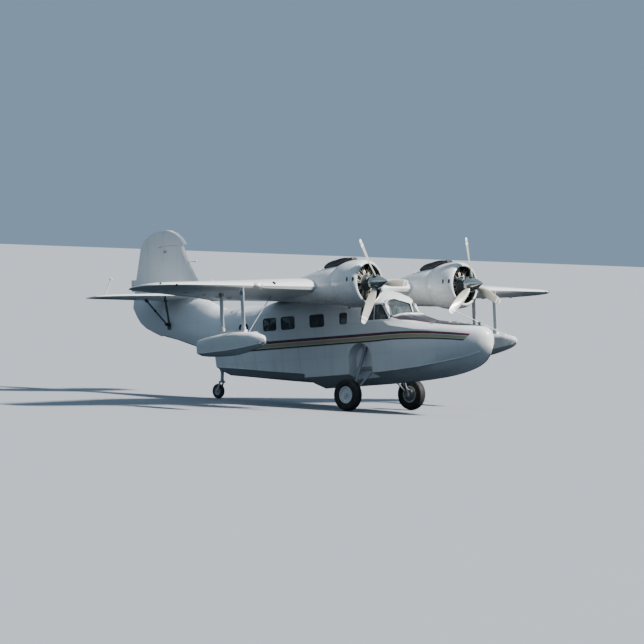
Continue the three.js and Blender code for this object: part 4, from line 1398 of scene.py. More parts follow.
@dataclass
class Propeller(PowerGroup):
    """Three right-handed blades on a flanged hub, behind a pointed spinner.

    A row of the blade gives its height over the axis, chord, thickness and pitch in degrees.
    """

    axis_x: float = -1.97
    blades: int = 3
    phases: dict[str, float] = field(default_factory=lambda: {"port": 8.0, "starboard": 29.4})
    rows: Rows = (
        (0.050, 0.096, 0.090, 62), (0.150, 0.098, 0.084, 55), (0.235, 0.118, 0.068, 49),
        (0.340, 0.164, 0.045, 42), (0.460, 0.192, 0.035, 36), (0.600, 0.202, 0.027, 30),
        (0.730, 0.198, 0.022, 26.2), (0.860, 0.187, 0.018, 23), (0.970, 0.172, 0.0145, 20.7),
        (1.060, 0.150, 0.0115, 19), (1.110, 0.124, 0.0095, 17.8), (1.138, 0.092, 0.0080, 17),
        (1.151, 0.056, 0.0060, 17), (1.1555, 0.018, 0.0030, 17))
    flat_start: float = 0.20
    flat_run: float = 0.16
    lean: float = 0.45
    back_swell: float = 0.25
    face_loss: float = 0.62
    nose: Rows = (
        (0.338, 0.000), (0.333, 0.008), (0.305, 0.026), (0.220, 0.076), (0.100, 0.136),
        (-0.020, 0.180), (-0.090, 0.1955), (-0.114, 0.1985))
    nose_back: Rows = ((0.1145, 0.190), (0.1145, 0.0))
    barrel: Rows = ((-0.070, 0.030), (-0.066, 0.074), (0.098, 0.078), (0.100, 0.186), (0.1115, 0.1875),
                    (0.112, 0.060), (0.1195, 0.058))
    clamp: Rows = ((0.075, 0.062), (0.080, 0.066), (0.150, 0.066), (0.155, 0.061), (0.158, 0.070),
                   (0.172, 0.070), (0.176, 0.058))
    cuff: Rows = ((0.158, 0.0645), (0.1745, 0.0700), (0.1790, 0.0690), (0.1800, 0.0600),
                  (0.158, 0.0580))
    screw_x: float = -0.098
    screw_radius: float = 0.1968
    screw_lean: float = 0.22

    def each(self, shape: Shape, onto: Shape | None = None) -> Shape:
        """Repeats a shape once for each blade.

        Args:
            shape: what is repeated, for the upright blade.
            onto: the shape that it is added to; a new one if none is given.

        Returns:
            The shape with the copies.
        """
        made = onto or Shape()
        for angle in angles(self.blades):
            made.merge(shape, roll(angle))
        return made

    def blade(self) -> Shape:
        """One upright blade about the hub's middle.

        Returns:
            The blade: round at its root and flattened towards its tip.
        """
        stations = smooth([row[1:] for row in self.rows], 3)
        heights = smooth([(row[0], 0, 0) for row in self.rows], 3)
        rings = []
        for (chord, thick, pitch), height in zip(stations, heights):
            turn = math.radians(pitch)
            flat = min(max((height.x - self.flat_start) / self.flat_run, 0.0), 1.0)
            ring = []
            for angle in angles(24):
                along = chord / 2 * math.cos(angle)
                across = thick / 2 * math.sin(angle) * (1.0 + self.lean * math.cos(angle) * flat)
                across *= 1.0 + flat * (self.back_swell if across > 0 else -self.face_loss)
                ring.append((along * math.sin(turn) + across * math.cos(turn),
                             across * math.sin(turn) - along * math.cos(turn), height.x))
            rings.append(ring)
        return Shape().rings(rings)

    def build(self) -> None:
        """Makes one propeller and spinner in place of their solids."""
        shop, side, body = self.shop, self.side, f"propeller_{self.side}"
        place = (self.place() @ Matrix.Translation((self.axis_x, 0, 0))
                 @ roll(math.radians(self.phases[side])))
        shop.piece(self.each(self.blade()), f"blades_{side}", "blade_paint", body, "blade_paint",
                   crease=60, place=place, replaces=(body,))
        clamp = Shape().turned(self.clamp, sides=24)
        hub = self.each(clamp, Shape().turned(self.barrel, ORIGIN, BACK, 48))
        shop.piece(hub, f"hub_{side}", "case_metal", body, place=place, crease=40)
        nose = [(-p.x, p.y) for p in smooth([(x, r, 0) for x, r in self.nose], 5)]
        cone = Shape().turned([*nose, *self.nose_back], ORIGIN, BACK, 72)
        shop.piece(cone, f"spinner_skin_{side}", "spinner_metal", body, "spinner_metal", crease=45,
                   place=place, replaces=(f"spinner_{side}",))
        cuffs = self.each(Shape().turned(self.cuff, sides=28, closed=True))
        shop.piece(cuffs, f"cuffs_{side}", "seal_rubber", body, place=place)
        screws = Spots()
        for angle in angles(18, 0.1):
            screws.add(around(angle, self.screw_radius, self.screw_x), around(angle, x=self.screw_lean))
        shop.studs(screws, f"spinner_screws_{side}", body, radius=0.0055, height=0.0016, place=place)


@dataclass
class Cowl(PowerGroup):
    """The ring cowl with its fasteners, dark patches of painted shade for its slots, and the air scoop over
    it.

    A row of the scoop gives x, its low and high edge over the axis, and half its width.
    """

    outside: Rows = (
        (-2.1955, 0.4760), (-2.1975, 0.4900), (-2.2060, 0.5065), (-2.2250, 0.5250),
        (-2.2600, 0.5445), (-2.3000, 0.5590), (-2.3800, 0.5695), (-2.4800, 0.5745),
        (-2.6200, 0.5725), (-2.7400, 0.5650), (-2.8600, 0.5400), (-2.9850, 0.5000))
    inside: Rows = (
        (-2.9850, 0.4870), (-2.8800, 0.5160), (-2.7600, 0.5470), (-2.6000, 0.5480),
        (-2.3800, 0.5475), (-2.2900, 0.5080), (-2.2500, 0.4720), (-2.2200, 0.4540),
        (-2.2040, 0.4600))
    slots: tuple[float, float] = (-2.430, -2.262)
    slot_angle: float = 0.16
    slot_half: tuple[float, float] = (0.024, 0.105)
    slot_layers: Rows = ((-0.004, 1.0), (0.0022, 1.0), (0.0030, 0.86))
    screw_rows: tuple[tuple[float, int], ...] = ((-2.350, 20), (-2.700, 20), (-2.945, 36))
    scoop: Rows = (
        (-2.630, 0.556, 0.600, 0.090), (-2.640, 0.556, 0.632, 0.104), (-2.675, 0.556, 0.646, 0.116),
        (-2.712, 0.556, 0.640, 0.118), (-2.736, 0.556, 0.606, 0.112), (-2.762, 0.556, 0.634, 0.122),
        (-2.820, 0.550, 0.652, 0.132), (-2.930, 0.530, 0.648, 0.134), (-3.060, 0.470, 0.637, 0.134),
        (-3.150, 0.455, 0.612, 0.130), (-3.230, 0.455, 0.611, 0.128), (-3.330, 0.455, 0.590, 0.126),
        (-3.430, 0.445, 0.556, 0.120), (-3.520, 0.430, 0.500, 0.106), (-3.568, 0.430, 0.455, 0.085))
    squareness: float = 0.42
    filler: Rows = ((0.0, 0.042), (0.012, 0.042), (0.024, 0.034), (0.031, 0.016), (0.033, 0.0))
    filler_foot: Point = (-3.77, 0, 0.398)

    def radius(self, x: float) -> float:
        """The outside radius at a place along the cowl.

        Args:
            x: the place.

        Returns:
            The radius; past the cowl's end, the radius at its end.
        """
        for (front, a), (back, b) in zip(self.outside, self.outside[1:]):
            if back <= x <= front:
                return a + (b - a) * (front - x) / (front - back)
        return self.outside[-1][1]

    def shaded_slot(self, x: float, angle: float) -> Shape:
        """A dark patch lying on the cowl's side: painted shade that stands for a slot's opening.

        Args:
            x: its middle along the cowl.
            angle: its middle round the cowl.

        Returns:
            The patch.
        """
        long, wide = self.slot_half
        rings = []
        for lift, share in self.slot_layers:
            ring = []
            for t in angles(20):
                spot = x + long * share * math.cos(t)
                ring.append(around(angle + wide * share * math.sin(t), self.radius(spot) + lift, spot))
            rings.append(ring)
        return Shape().rings(rings)

    def hump(self) -> Shape:
        """The scoop's lumpy black body.

        Returns:
            The body, each of its sections a rounded box.
        """
        rings = []
        for x, low, top, half in self.scoop:
            ring = []
            for t in angles(28):
                c, s = (math.copysign(abs(v) ** self.squareness, v) for v in (math.cos(t), math.sin(t)))
                ring.append((x, c * half, (low + top) / 2 + s * (top - low) / 2))
            rings.append(ring)
        return Shape().rings(rings)

    def build(self) -> None:
        """Makes one cowl and scoop in place of their solids."""
        shop, side, place = self.shop, self.side, self.place()
        wall = [(-x, r) for x, r in (*self.outside, *self.inside)]
        shop.piece(Shape().turned(wall, ORIGIN, BACK, 96, closed=True), f"cowl_skin_{side}", "cowl_paint",
                   slot="white_paint", crease=50, place=place, replaces=(f"cowl_{side}",))
        shop.piece(self.hump(), f"scoop_body_{side}", "black_paint", slot="black_paint", crease=40,
                   place=place, levels=1, replaces=(f"scoop_{side}",))
        slots, screws = Shape(), Spots()
        for angle in (self.slot_angle, math.pi - self.slot_angle):
            for x in self.slots:
                slots.merge(self.shaded_slot(x, angle))
        for x, count in self.screw_rows:
            for angle in angles(count, 0.07):
                screws.add(around(angle, self.radius(x), x), around(angle))
        # The slots are thin dark patches of painted shade on the skin, not openings.
        shop.piece(slots, f"cowl_slot_shades_{side}", "seal_rubber", place=place)
        shop.studs(screws, f"cowl_screws_{side}", radius=0.0065, place=place)
        filler = Shape().turned(self.filler, self.filler_foot, sides=24)
        shop.piece(filler, f"oil_filler_{side}", "white_paint", place=place)


# Windows


def rounded(corners: Sequence[Point], radius: float, steps: int = 6) -> list[Vector]:
    """A polygon with round corners, as evenly turning points in a plane.

    Args:
        corners: its corners, two numbers each.
        radius: how far from a corner its rounding starts.
        steps: points made per corner.

    Returns:
        The points, with z at nought.
    """
    made: list[Vector] = []
    count = len(corners)
    for i, corner in enumerate(corners):
        here = Vector((*corner, 0.0))
        before, after = (Vector((*corners[j], 0.0)) for j in (i - 1, (i + 1) % count))
        a = here + (before - here).normalized() * radius
        b = here + (after - here).normalized() * radius
        made += [a.lerp(here, k / steps).lerp(here.lerp(b, k / steps), k / steps)
                 for k in range(steps + 1)]
    return made


@dataclass
class Pane:
    """One window: its outline as cut in a wall, and how it is looked at."""

    corners: Sequence[Point]
    look: Point
    radius: float = 0.060
    bulge: float = 0.0
    shares: tuple[float, ...] = (0.96, 0.75, 0.5, 0.25, 0.0)
    screw_out: float = 0.017
    screw_lift: float = 0.0045

    def loop(self, skin: Skin, grow: float = 0.012) -> list[tuple[Vector, Vector, Vector]]:
        """The outline on the wall.

        Args:
            skin: the wall's surface.
            grow: how far outside the hole the surface is looked for.

        Returns:
            Place, normal and outward direction in the wall, point by point.
        """
        way = Vector(self.look)
        flat = rounded(self.corners, self.radius)
        middle = sum(flat, Vector()) / len(flat)
        spots = []
        for i, point in enumerate(flat):
            along = (flat[(i + 1) % len(flat)] - flat[i - 1]).normalized()
            out = Vector((along.y, -along.x, 0.0))
            if out.dot(point - middle) < 0:
                out = -out
            a, b = (point + out * grow).xy
            sideways = abs(way.y) > 0.5
            start = Vector((a, 0, b)) - way * BESIDE if sideways else Vector((0, a, b)) - way * 0.5
            spots.append(skin.hit(start, way))
        for i, spot in enumerate(spots):
            if spot is None:
                spots[i] = next(s for s in spots[i:] + spots if s)
        centre = sum((s[0] for s in spots), Vector()) / len(spots)
        made = []
        for i, (spot, _) in enumerate(spots):
            normal = sum((spots[(i + k) % len(spots)][1] for k in range(-3, 4)), Vector()).normalized()
            along = spots[(i + 1) % len(spots)][0] - spots[i - 1][0]
            out = along.cross(normal).normalized()
            if out.dot(spot - centre) < 0:
                out = -out
            made.append((spot - out * grow, normal, out))
        return made

    def band(self, skin: Skin, profile: Sequence[Point]) -> Shape:
        """A frame round the window from a profile of outward and upward distances."""
        rings = [[spot + out * a + normal * b for a, b in profile] for spot, normal, out in self.loop(skin)]
        return Shape().rings(rings, closed=True)

    def glass(self, skin: Skin, depth: float = 0.012, thick: float = 0.004) -> Shape:
        """The sheet in the window, bulged towards its middle.

        Args:
            skin: the wall's surface.
            depth: how far under the surface its edge lies.
            thick: its thickness.

        Returns:
            The sheet.
        """
        loop = self.loop(skin)
        normal = sum((n for _, n, _ in loop), Vector()).normalized()
        edge = [spot - out * 0.001 - n * depth for spot, n, out in loop]
        middle = sum(edge, Vector()) / len(edge)
        layers = [(share, 0.0) for share in self.shares] + [(share, thick) for share in self.shares[::-1]]
        rings = []
        for share, under in layers:
            lift = normal * (self.bulge * (1 - (1 - share) ** 2) - under)
            rings.append([p.lerp(middle, share) + lift for p in edge])
        return Shape().rings(rings)

    def screws(self, skin: Skin, spots: Spots) -> None:
        """Adds a row of screws round the frame."""
        for spot, normal, out in self.loop(skin)[::3]:
            spots.add(spot + out * self.screw_out + normal * self.screw_lift, normal)


@dataclass
class Windows(Group):
    """All windows of hull, door and canopy.

    A window in a side wall is given by its front, back, low and high edge.
    """

    cabin: Rows = (
        (-3.860, -4.090, 1.500, 1.770), (-4.590, -5.050, 1.480, 1.780),
        (-5.550, -6.000, 1.480, 1.790), (-6.170, -6.600, 1.480, 1.790))
    porthole: Point = (-7.140, -7.460, 1.510, 1.700)
    door: Point = (-6.850, -7.170, 1.500, 1.690)
    round_radius: float = 0.078
    cockpit: Rows = ((-2.662, 1.548), (-3.420, 1.548), (-3.420, 1.905), (-2.862, 1.905))
    cockpit_radius: float = 0.035
    post_x: float = -3.06
    post_ends: tuple[float, float] = (1.533, 1.922)
    shield: Rows = (
        (0.028, 1.700), (0.590, 1.620), (0.598, 1.880), (0.545, 1.985), (0.330, 2.025),
        (0.028, 1.905))
    seal: Rows = (
        (-0.010, -0.018), (-0.010, 0.001), (-0.004, 0.0035), (0.006, 0.0035), (0.010, -0.004))
    rim: Rows = (
        (0.006, -0.004), (0.006, 0.0035), (0.010, 0.0050), (0.024, 0.0050), (0.028, 0.0030),
        (0.029, -0.004))
    shield_seal: Rows = (
        (-0.012, -0.040), (-0.012, 0.001), (-0.006, 0.0045), (0.008, 0.0045), (0.011, -0.004))

    def upright(self, edges: Point, look: Point, radius: float = 0.060) -> Pane:
        """A window with upright sides in a side wall."""
        front, back, low, high = edges
        return Pane(((front, low), (back, low), (back, high), (front, high)), look, radius)

    def fit(self, skin: Skin, panes: Sequence[Pane], name: str, body: str = "hull",
            glass: str = "cabin_glass") -> None:
        """Makes the seals, frames, sheets and screws of a group of windows.

        Args:
            skin: the wall that they are in.
            panes: the windows.
            name: the group's name.
            body: the body that they ride on.
            glass: the sheets' finish.
        """
        seals, rims, sheets, spots = Shape(), Shape(), Shape(), Spots()
        for pane in panes:
            seals.merge(pane.band(skin, self.seal))
            rims.merge(pane.band(skin, self.rim))
            sheets.merge(pane.glass(skin))
            pane.screws(skin, spots)
        shop = self.shop
        shop.piece(seals, f"{name}_seals", "seal_rubber", body)
        shop.piece(rims, f"{name}_frames", "white_paint", body, crease=50)
        shop.piece(sheets, f"{name}_glass", glass, body, "window_glass", crease=50)
        shop.studs(spots, f"{name}_screws", body, radius=0.0042, height=0.0012)

    def windshield(self, canopy: Skin) -> None:
        """Makes the windshield's seals and its two panes.

        Args:
            canopy: the canopy's surface.
        """
        seals, sheets = Shape(), Shape()
        for sign in BOTH:
            pane = Pane([(sign * y, z) for y, z in self.shield], BACK, 0.030, 0.012)
            seals.merge(pane.band(canopy, self.shield_seal))
            sheets.merge(pane.glass(canopy, 0.010))
        self.shop.piece(seals, "windshield_seals", "seal_rubber", crease=50)
        self.shop.piece(sheets, "windshield_panes", "window_glass", slot="window_glass", crease=60,
                        replaces=("windshield_glass",))

    def build(self) -> None:
        """Fits every window."""
        canopy = self.shop.skin("cockpit_canopy")
        for side, sign in SIDES:
            look = (0.0, -sign, 0.0)
            panes = [self.upright(edges, look) for edges in self.cabin]
            if sign < 0:
                panes.append(self.upright(self.porthole, look, self.round_radius))
            self.fit(self.shop.skin(f"side_wall_{side}"), panes, f"cabin_windows_{side}")
            self.fit(canopy, [Pane(self.cockpit, look, self.cockpit_radius)], f"cockpit_window_{side}",
                     glass="window_glass")
            feet = [canopy.hit((self.post_x, sign * BESIDE, z), look)[0] + Vector(look) * 0.010
                    for z in self.post_ends]
            self.shop.piece(Shape().rod(*feet, 0.012), f"sliding_window_post_{side}", "white_paint")
        self.fit(self.shop.skin("entry_door"),
                 [self.upright(self.door, (0.0, -1.0, 0.0), self.round_radius)], "door_window", "entry_door")
        self.windshield(canopy)


# Hull fittings


@dataclass
class HullFittings(Group):
    """Strips, coaming, vents, mooring gear and the hardware of hatch and door on the hull."""

    chines: tuple[Rows, Rows] = (
        ((-0.22, 0.200, 0.610), (-0.55, 0.345, 0.520), (-1.10, 0.520, 0.430), (-1.80, 0.650, 0.350),
         (-2.60, 0.725, 0.300), (-3.20, 0.742, 0.284)),
        ((-5.32, 0.748, 0.371), (-6.54, 0.700, 0.500), (-6.93, 0.675, 0.545), (-7.62, 0.610, 0.620),
         (-8.44, 0.500, 0.700)))
    keels: tuple[Rows, Rows] = (
        ((-0.060, 0.545), (-0.22, 0.370), (-0.55, 0.225), (-1.10, 0.110), (-1.80, 0.045),
         (-2.60, 0.015), (-3.50, 0.0), (-5.295, 0.0)),
        ((-5.31, 0.126), (-6.54, 0.265), (-7.62, 0.400), (-8.445, 0.499)))
    coaming_x: float = -2.265
    coaming_bend: float = 1.02
    coaming_half: float = 0.590
    grip_x: float = -0.68
    grip_lift: float = 0.028
    grip_post_y: float = 0.05
    grip_end_y: float = 0.056
    hinge_x: float = -1.075
    hinge_y: float = 0.16
    hinge_size: Point = (0.066, 0.058, 0.006)
    hinge_screw: Point = (0.020, 0.018, 0.004)
    lid_screws: int = 7
    lid_screw_first: float = -0.649
    lid_screw_pitch: float = 0.064
    lid_screw_y: float = 0.214
    cleat: Point = (-1.45, 0.40, ABOVE)
    cleat_size: Point = (0.090, 0.034, 0.010)
    cleat_post_x: float = 0.022
    cleat_post_height: float = 0.036
    cleat_screw_x: float = 0.0363
    horn: Rows = ((-0.085, 0.0485), (-0.05, 0.045), (0.0, 0.040), (0.05, 0.045), (0.085, 0.0485))
    eye: Point = (-0.105, 0, 0.520)
    eye_radius: float = 0.034
    eye_plate: Rows = ((-0.045, 0, 0.005), (0.05, 0.020, 0.060))
    vents: Rows = ((-3.802, 1.888, 0.050, 0.026), (-7.942, 2.051, 0.040, 0.022))
    vent_layers: Rows = ((1.0, -0.010), (1.0, 0.003), (0.86, 0.006), (0.62, 0.006))
    door_handle: Point = (-7.24, BESIDE, 1.30)
    handle_spindle: tuple[float, float] = (-0.004, 0.030)
    handle_lever: Rows = ((0.0, 0.0, 0.028), (0.030, 0.0, 0.034), (0.115, -0.004, 0.034))
    handle_plate: Rows = ((0.0, 0.026), (0.003, 0.026), (0.005, 0.020))
    step: Rows = ((-6.83, 0.735, 0.800), (-6.83, 0.800, 0.700), (-6.83, 0.806, 0.640),
                  (-7.12, 0.800, 0.640), (-7.12, 0.794, 0.700), (-7.12, 0.725, 0.800))

    def strips(self) -> None:
        """Makes the spray strips along the chines and the worn strip along the keel."""
        rails = Shape()
        for rows in self.chines:
            for sign in BOTH:
                rails.bend(sided(rows, sign), 6, 0.0085)
        self.shop.piece(rails, "chine_strips", "white_paint")
        keels, screws = Shape(), Spots()
        for rows in self.keels:
            path = smooth([(x, 0.0, z + 0.002) for x, z in rows], 8)
            keels.tube(path, 0.0110)
            for spot in path[::3]:
                screws.add(spot + Vector((0, 0, -0.0105)), DOWN)
        self.shop.piece(keels, "keel_strip", "worn_steel")
        self.shop.studs(screws, "keel_screws", radius=0.0050)

    def coaming(self) -> None:
        """Makes the pale raised lip that curves round ahead of the windshield."""
        skin = self.shop.skin("hull_bow", "hull_bottom", "side_wall_port", "side_wall_starboard")
        path = []
        for i in range(-20, 21):
            y = i / 20 * self.coaming_half
            path.append(skin.hit((self.coaming_x - self.coaming_bend * y * y, y, ABOVE)))
        self.shop.piece(skin.ribbon(path, 0.030, 0.030), "windshield_coaming", "white_paint", crease=60)

    def hatch(self) -> None:
        """Makes the handle, hinges and screws of the bow hatch."""
        lid = self.shop.skin("bow_hatch")
        grip, plates, screws = Shape(), Shape(), Spots()
        for side in (-1, 1):
            spot, normal = lid.hit((self.grip_x, side * self.grip_post_y, ABOVE))
            grip.rod(spot - normal * 0.003, spot + normal * self.grip_lift, 0.006, sides=8)
            screws.add(spot + normal * 0.001, normal)
        ends = [lid.hit((self.grip_x, side * self.grip_end_y, ABOVE)) for side in (-1, 1)]
        grip.rod(*(spot + normal * self.grip_lift for spot, normal in ends), 0.007, sides=8)
        long, wide, lift = self.hinge_screw
        for side in (-1, 1):
            spot, normal = lid.hit((self.hinge_x, side * self.hinge_y, ABOVE))
            plates.block(spot + normal * 0.001, self.hinge_size)
            for dx in (-long, long):
                for dy in (-wide, wide):
                    screws.add(spot + Vector((dx, dy, lift)), UP)
        for i in range(self.lid_screws):
            for side in (-1, 1):
                x = self.lid_screw_first - i * self.lid_screw_pitch
                screws.add(*lid.hit((x, side * self.lid_screw_y, ABOVE)))
        self.shop.piece(grip, "hatch_handle", "steel", "bow_hatch")
        self.shop.piece(plates, "hatch_hinges", "worn_steel", "bow_hatch", bevel=0.0012)
        self.shop.studs(screws, "hatch_screws", "bow_hatch")

    def mooring(self) -> None:
        """Makes the cleats on the foredeck and the towing eye under the stem."""
        skin = self.shop.skin("hull_bow")
        cleats, screws = Shape(), Spots()
        for sign in BOTH:
            spot, normal = skin.hit(sided([self.cleat], sign)[0])
            base = spot + normal * 0.004
            cleats.block(base, self.cleat_size)
            for end in (-1, 1):
                foot = base + Vector((end * self.cleat_post_x, 0, 0))
                cleats.rod(foot, foot + normal * self.cleat_post_height, 0.008)
                screws.add(base + Vector((end * self.cleat_screw_x, 0, 0)) + normal * 0.005, normal)
            cleats.bend([base + Vector((dx, 0, 0)) + normal * lift for dx, lift in self.horn], 4, 0.008)
        self.shop.piece(cleats, "deck_cleats", "steel", bevel=0.001)
        self.shop.studs(screws, "cleat_screws")
        eye, middle = Shape(), Vector(self.eye)
        eye.tube([middle + Vector((math.cos(a), 0, math.sin(a))) * self.eye_radius for a in angles(24)],
                 0.0075, 10, closed=True)
        shift, size = self.eye_plate
        eye.block(middle + Vector(shift), size)
        self.shop.piece(eye, "bow_eye", "worn_steel", bevel=0.001)

    def marks(self) -> None:
        """Makes the side vents, the door's handle and the step under the door."""
        walls = self.shop.skin("side_wall_port", "side_wall_starboard", "cabin_roof", "tail_cone")
        vents, along = Shape(), Vector(FORWARD)
        for sign in BOTH:
            for x, z, long, high in self.vents:
                foot = walls.hit((x, sign * BESIDE, z), (0, -sign, 0))
                up = foot[1].cross(along).normalized()
                vents.mound(foot, along * long, up * high, self.vent_layers)
        self.shop.piece(vents, "side_vents", "seal_rubber")
        spot, normal = self.shop.skin("entry_door").hit(self.door_handle, (0, -1, 0))
        handle = Shape().rod(*(spot + normal * lift for lift in self.handle_spindle), 0.013, sides=16)
        handle.bend([spot + Vector((dx, 0, dz)) + normal * lift for dx, dz, lift in self.handle_lever], 5,
                    0.0085, 10)
        handle.turned(self.handle_plate, spot, normal, 24)
        self.shop.piece(handle, "door_handle", "steel", "entry_door")
        self.shop.piece(Shape().bend(self.step, 6, 0.012, 10), "door_step", "worn_steel")

    def build(self) -> None:
        """Makes every hull fitting."""
        self.strips()
        self.coaming()
        self.hatch()
        self.mooring()
        self.marks()


# Wing, tail and float fittings


@dataclass
class WingFittings(Group):
    """Lamps, hinge fairings, caps and the pitot tube on the wing."""

    tip_lamp: Rows = ((-0.012, 0.024), (0.000, 0.026), (0.018, 0.024), (0.034, 0.015), (0.041, 0.004),
                      (0.042, 0.0))
    stall_port: Rows = ((-0.008, 0.030), (0.004, 0.030), (0.008, 0.022), (0.009, 0.0))
    landing_lamp: Rows = ((-0.030, 0.060), (-0.004, 0.062), (0.004, 0.056), (0.012, 0.035), (0.015, 0.0))
    fuel_cap: Rows = ((-0.010, 0.046), (0.010, 0.046), (0.020, 0.038), (0.026, 0.016), (0.027, 0.0))
    places: Rows = ((0, 7.28, 2.385), (0, 6.93, 2.352), (0, 4.25, 2.325), (-3.585, 3.671, ABOVE))
    lens_lean: float = 1.5
    under: float = 1.6
    bolt: Point = (-0.006, 0.015, -0.3)
    bolt_x: tuple[float, float] = (0.05, -0.045)
    pitot_pipe: Rows = ((-0.02, 0, 0), (0.10, 0, -0.004), (0.16, 0, -0.004))
    pitot_mast: Rows = ((0.15, 0, -0.004), (0.30, 0, -0.004))
    hinges: Rows = ((-5.46, 2.75), (-5.26, 3.40), (-5.10, 4.00), (-4.86, 4.75), (-4.67, 5.60),
                    (-4.46, 6.45))
    fairing: Rows = ((0.09, 0.004, 0.004), (0.06, 0.012, 0.022), (0.0, 0.017, 0.034),
                     (-0.06, 0.014, 0.026), (-0.095, 0.005, 0.008))
    pitot: Point = (0, 5.9, 2.33)

    def lamps(self, side: str, sign: float) -> None:
        """Makes the lamps, the stall warning port and the fuel cap of one wing.

        Args:
            side: the wing's name.
            sign: 1 to port, -1 to starboard.
        """
        wing = self.shop.skin(f"wing_outer_{side}")
        tip, stall, front, top = sided(self.places, sign)
        lamp = wing.seat(tip, BACK, self.tip_lamp, 20)
        self.shop.piece(lamp, f"tip_lamp_{side}", "red_lamp_paint" if sign > 0 else "green_lamp_paint")
        port = wing.seat(stall, BACK, self.stall_port, 20)
        self.shop.piece(port, f"stall_port_{side}", "black_paint")
        spot, normal = wing.hit(front, BACK)
        lens = Shape().turned(self.landing_lamp, spot, normal + Vector((self.lens_lean, 0, 0)), 28)
        self.shop.piece(lens, f"landing_lamp_{side}", "lamp_glass")
        cap = wing.seat(top, DOWN, self.fuel_cap)
        self.shop.piece(cap, f"fuel_cap_{side}", "black_paint")

    def fairings(self, side: str, sign: float) -> None:
        """Makes the fairings and bolts of the hinges under one wing.

        Args:
            side: the wing's name.
            sign: 1 to port, -1 to starboard.
        """
        under = self.shop.skin(f"wing_outer_{side}", "wing_centre", f"flap_{side}", f"aileron_{side}")
        brackets, bolts = Shape(), Spots()
        for x, y in self.hinges:
            spot, _ = under.hit((x, sign * y, self.under), UP)
            brackets.rings([[spot + Vector((dx, half * math.cos(t), -drop * max(math.sin(t), -0.2)))
                             for t in angles(12)] for dx, half, drop in self.fairing])
            lift, out, tilt = self.bolt
            for dx in self.bolt_x:
                bolts.add(spot + Vector((dx, sign * out, lift)), (0, sign, tilt))
        self.shop.piece(brackets, f"hinge_fairings_{side}", "white_paint", crease=60)
        self.shop.studs(bolts, f"hinge_bolts_{side}", radius=0.005, height=0.003, sides=6)

    def build(self) -> None:
        """Makes the wing's fittings."""
        for side, sign in SIDES:
            self.lamps(side, sign)
            self.fairings(side, sign)
        spot, _ = self.shop.skin("wing_outer_port").hit(self.pitot, BACK)
        tube = Shape().bend([spot + Vector(p) for p in self.pitot_pipe], 5, 0.011, 12)
        tube.tube([spot + Vector(p) for p in self.pitot_mast], 0.0075, 12)
        self.shop.piece(tube, "pitot_tube", "worn_steel")


@dataclass
class TailFittings(Group):
    """Balance arms, fin probe, strut fittings, hinge caps and lamp on the tail."""

    arm: Rows = ((-10.90, 1.90, 2.57), (-10.645, 1.90, 3.045))
    weight: Rows = ((-0.062, 0.006), (-0.052, 0.024), (0.044, 0.026), (0.058, 0.008))
    strut_foot: Point = (-10.30, 0.172, 1.80)
    strut_tops: Rows = ((-9.78, 0.860, 2.58), (-10.215, 1.205, 2.58))
    strut_shares: tuple[float, float] = (0.11, 0.86)
    block: Point = (0.046, 0.078, 0.085)
    knob: Rows = ((-0.030, 0.012), (-0.018, 0.032), (0.018, 0.032), (0.030, 0.012))
    probe: Rows = ((-9.76, 0, 3.44), (-9.50, 0, 3.44))
    probe_tip: Rows = ((-0.01, 0.015), (0.0, 0.022), (0.052, 0.024), (0.070, 0.008))
    cap: tuple[float, float] = (-10.462, 3.749)
    cap_layers: Rows = ((1.0, -0.004), (1.0, 0.006), (0.85, 0.012), (0.5, 0.014))

    def struts(self, side: str, sign: float) -> None:
        """Makes the clamps, knobs and bolts on the tail struts of one side.

        Args:
            side: the side's name.
            sign: 1 to port, -1 to starboard.
        """
        fittings, bolts = Shape(), Spots()
        foot, *tops = sided((self.strut_foot, *self.strut_tops), sign)
        for head in tops:
            way = (head - foot).normalized()
            turn = way.to_track_quat("Z", "X").to_matrix().to_4x4()
            out = turn.to_3x3() @ Vector(FORWARD)
            for share in self.strut_shares:
                centre = foot.lerp(head, share)
                fittings.block(centre, self.block, turn)
                for lift in (-0.025, 0.025):
                    for face in (out, -out):
                        bolts.add(centre + face * 0.023 + way * lift, face)
            fittings.turned(self.knob, foot.lerp(head, 0.55), way, 16)
        self.shop.piece(fittings, f"strut_fittings_{side}", "black_paint", bevel=0.003)
        self.shop.studs(bolts, f"strut_bolts_{side}", radius=0.009, height=0.006, sides=6)

    def fin(self) -> None:
        """Makes the fin's probe and the hinge caps with their screws."""
        probe = Shape().rod(*self.probe, 0.017, 0.015)
        probe.turned(self.probe_tip, self.probe[1], FORWARD, 16)
        self.shop.piece(probe, "fin_probe", "white_paint")
        fin, (x, z) = self.shop.skin("fin"), self.cap
        caps, screws = Shape(), Spots()
        for sign in BOTH:
            spot, normal = fin.hit((x, sign * BESIDE, z), (0, -sign, 0))
            caps.mound((spot, normal), Vector((0.060, 0, 0)), Vector((0, 0, 0.034)), self.cap_layers)
            for dx in (-0.035, 0.035):
                screws.add(spot + Vector((dx, 0, 0)) + normal * 0.012, normal)
        self.shop.piece(caps, "fin_hinge_caps", "grey_paint")
        self.shop.studs(screws, "fin_screws")

    def build(self) -> None:
        """Makes the tail's fittings."""
        for side, sign in SIDES:
            foot, tip = sided(self.arm, sign)
            arm = Shape().rod(foot, tip, 0.018, 0.015).turned(self.weight, tip, (-0.88, 0, 0.47), 16)
            self.shop.piece(arm, f"balance_arm_{side}", "white_paint", "elevators")
            self.struts(side, sign)
        self.fin()
        lamp = Shape().rod((-11.66, 0.0, 2.46), (-11.70, 0.0, 2.46), 0.017, 0.012, 14)
        self.shop.piece(lamp, "tail_lamp", "lamp_glass", "rudder")


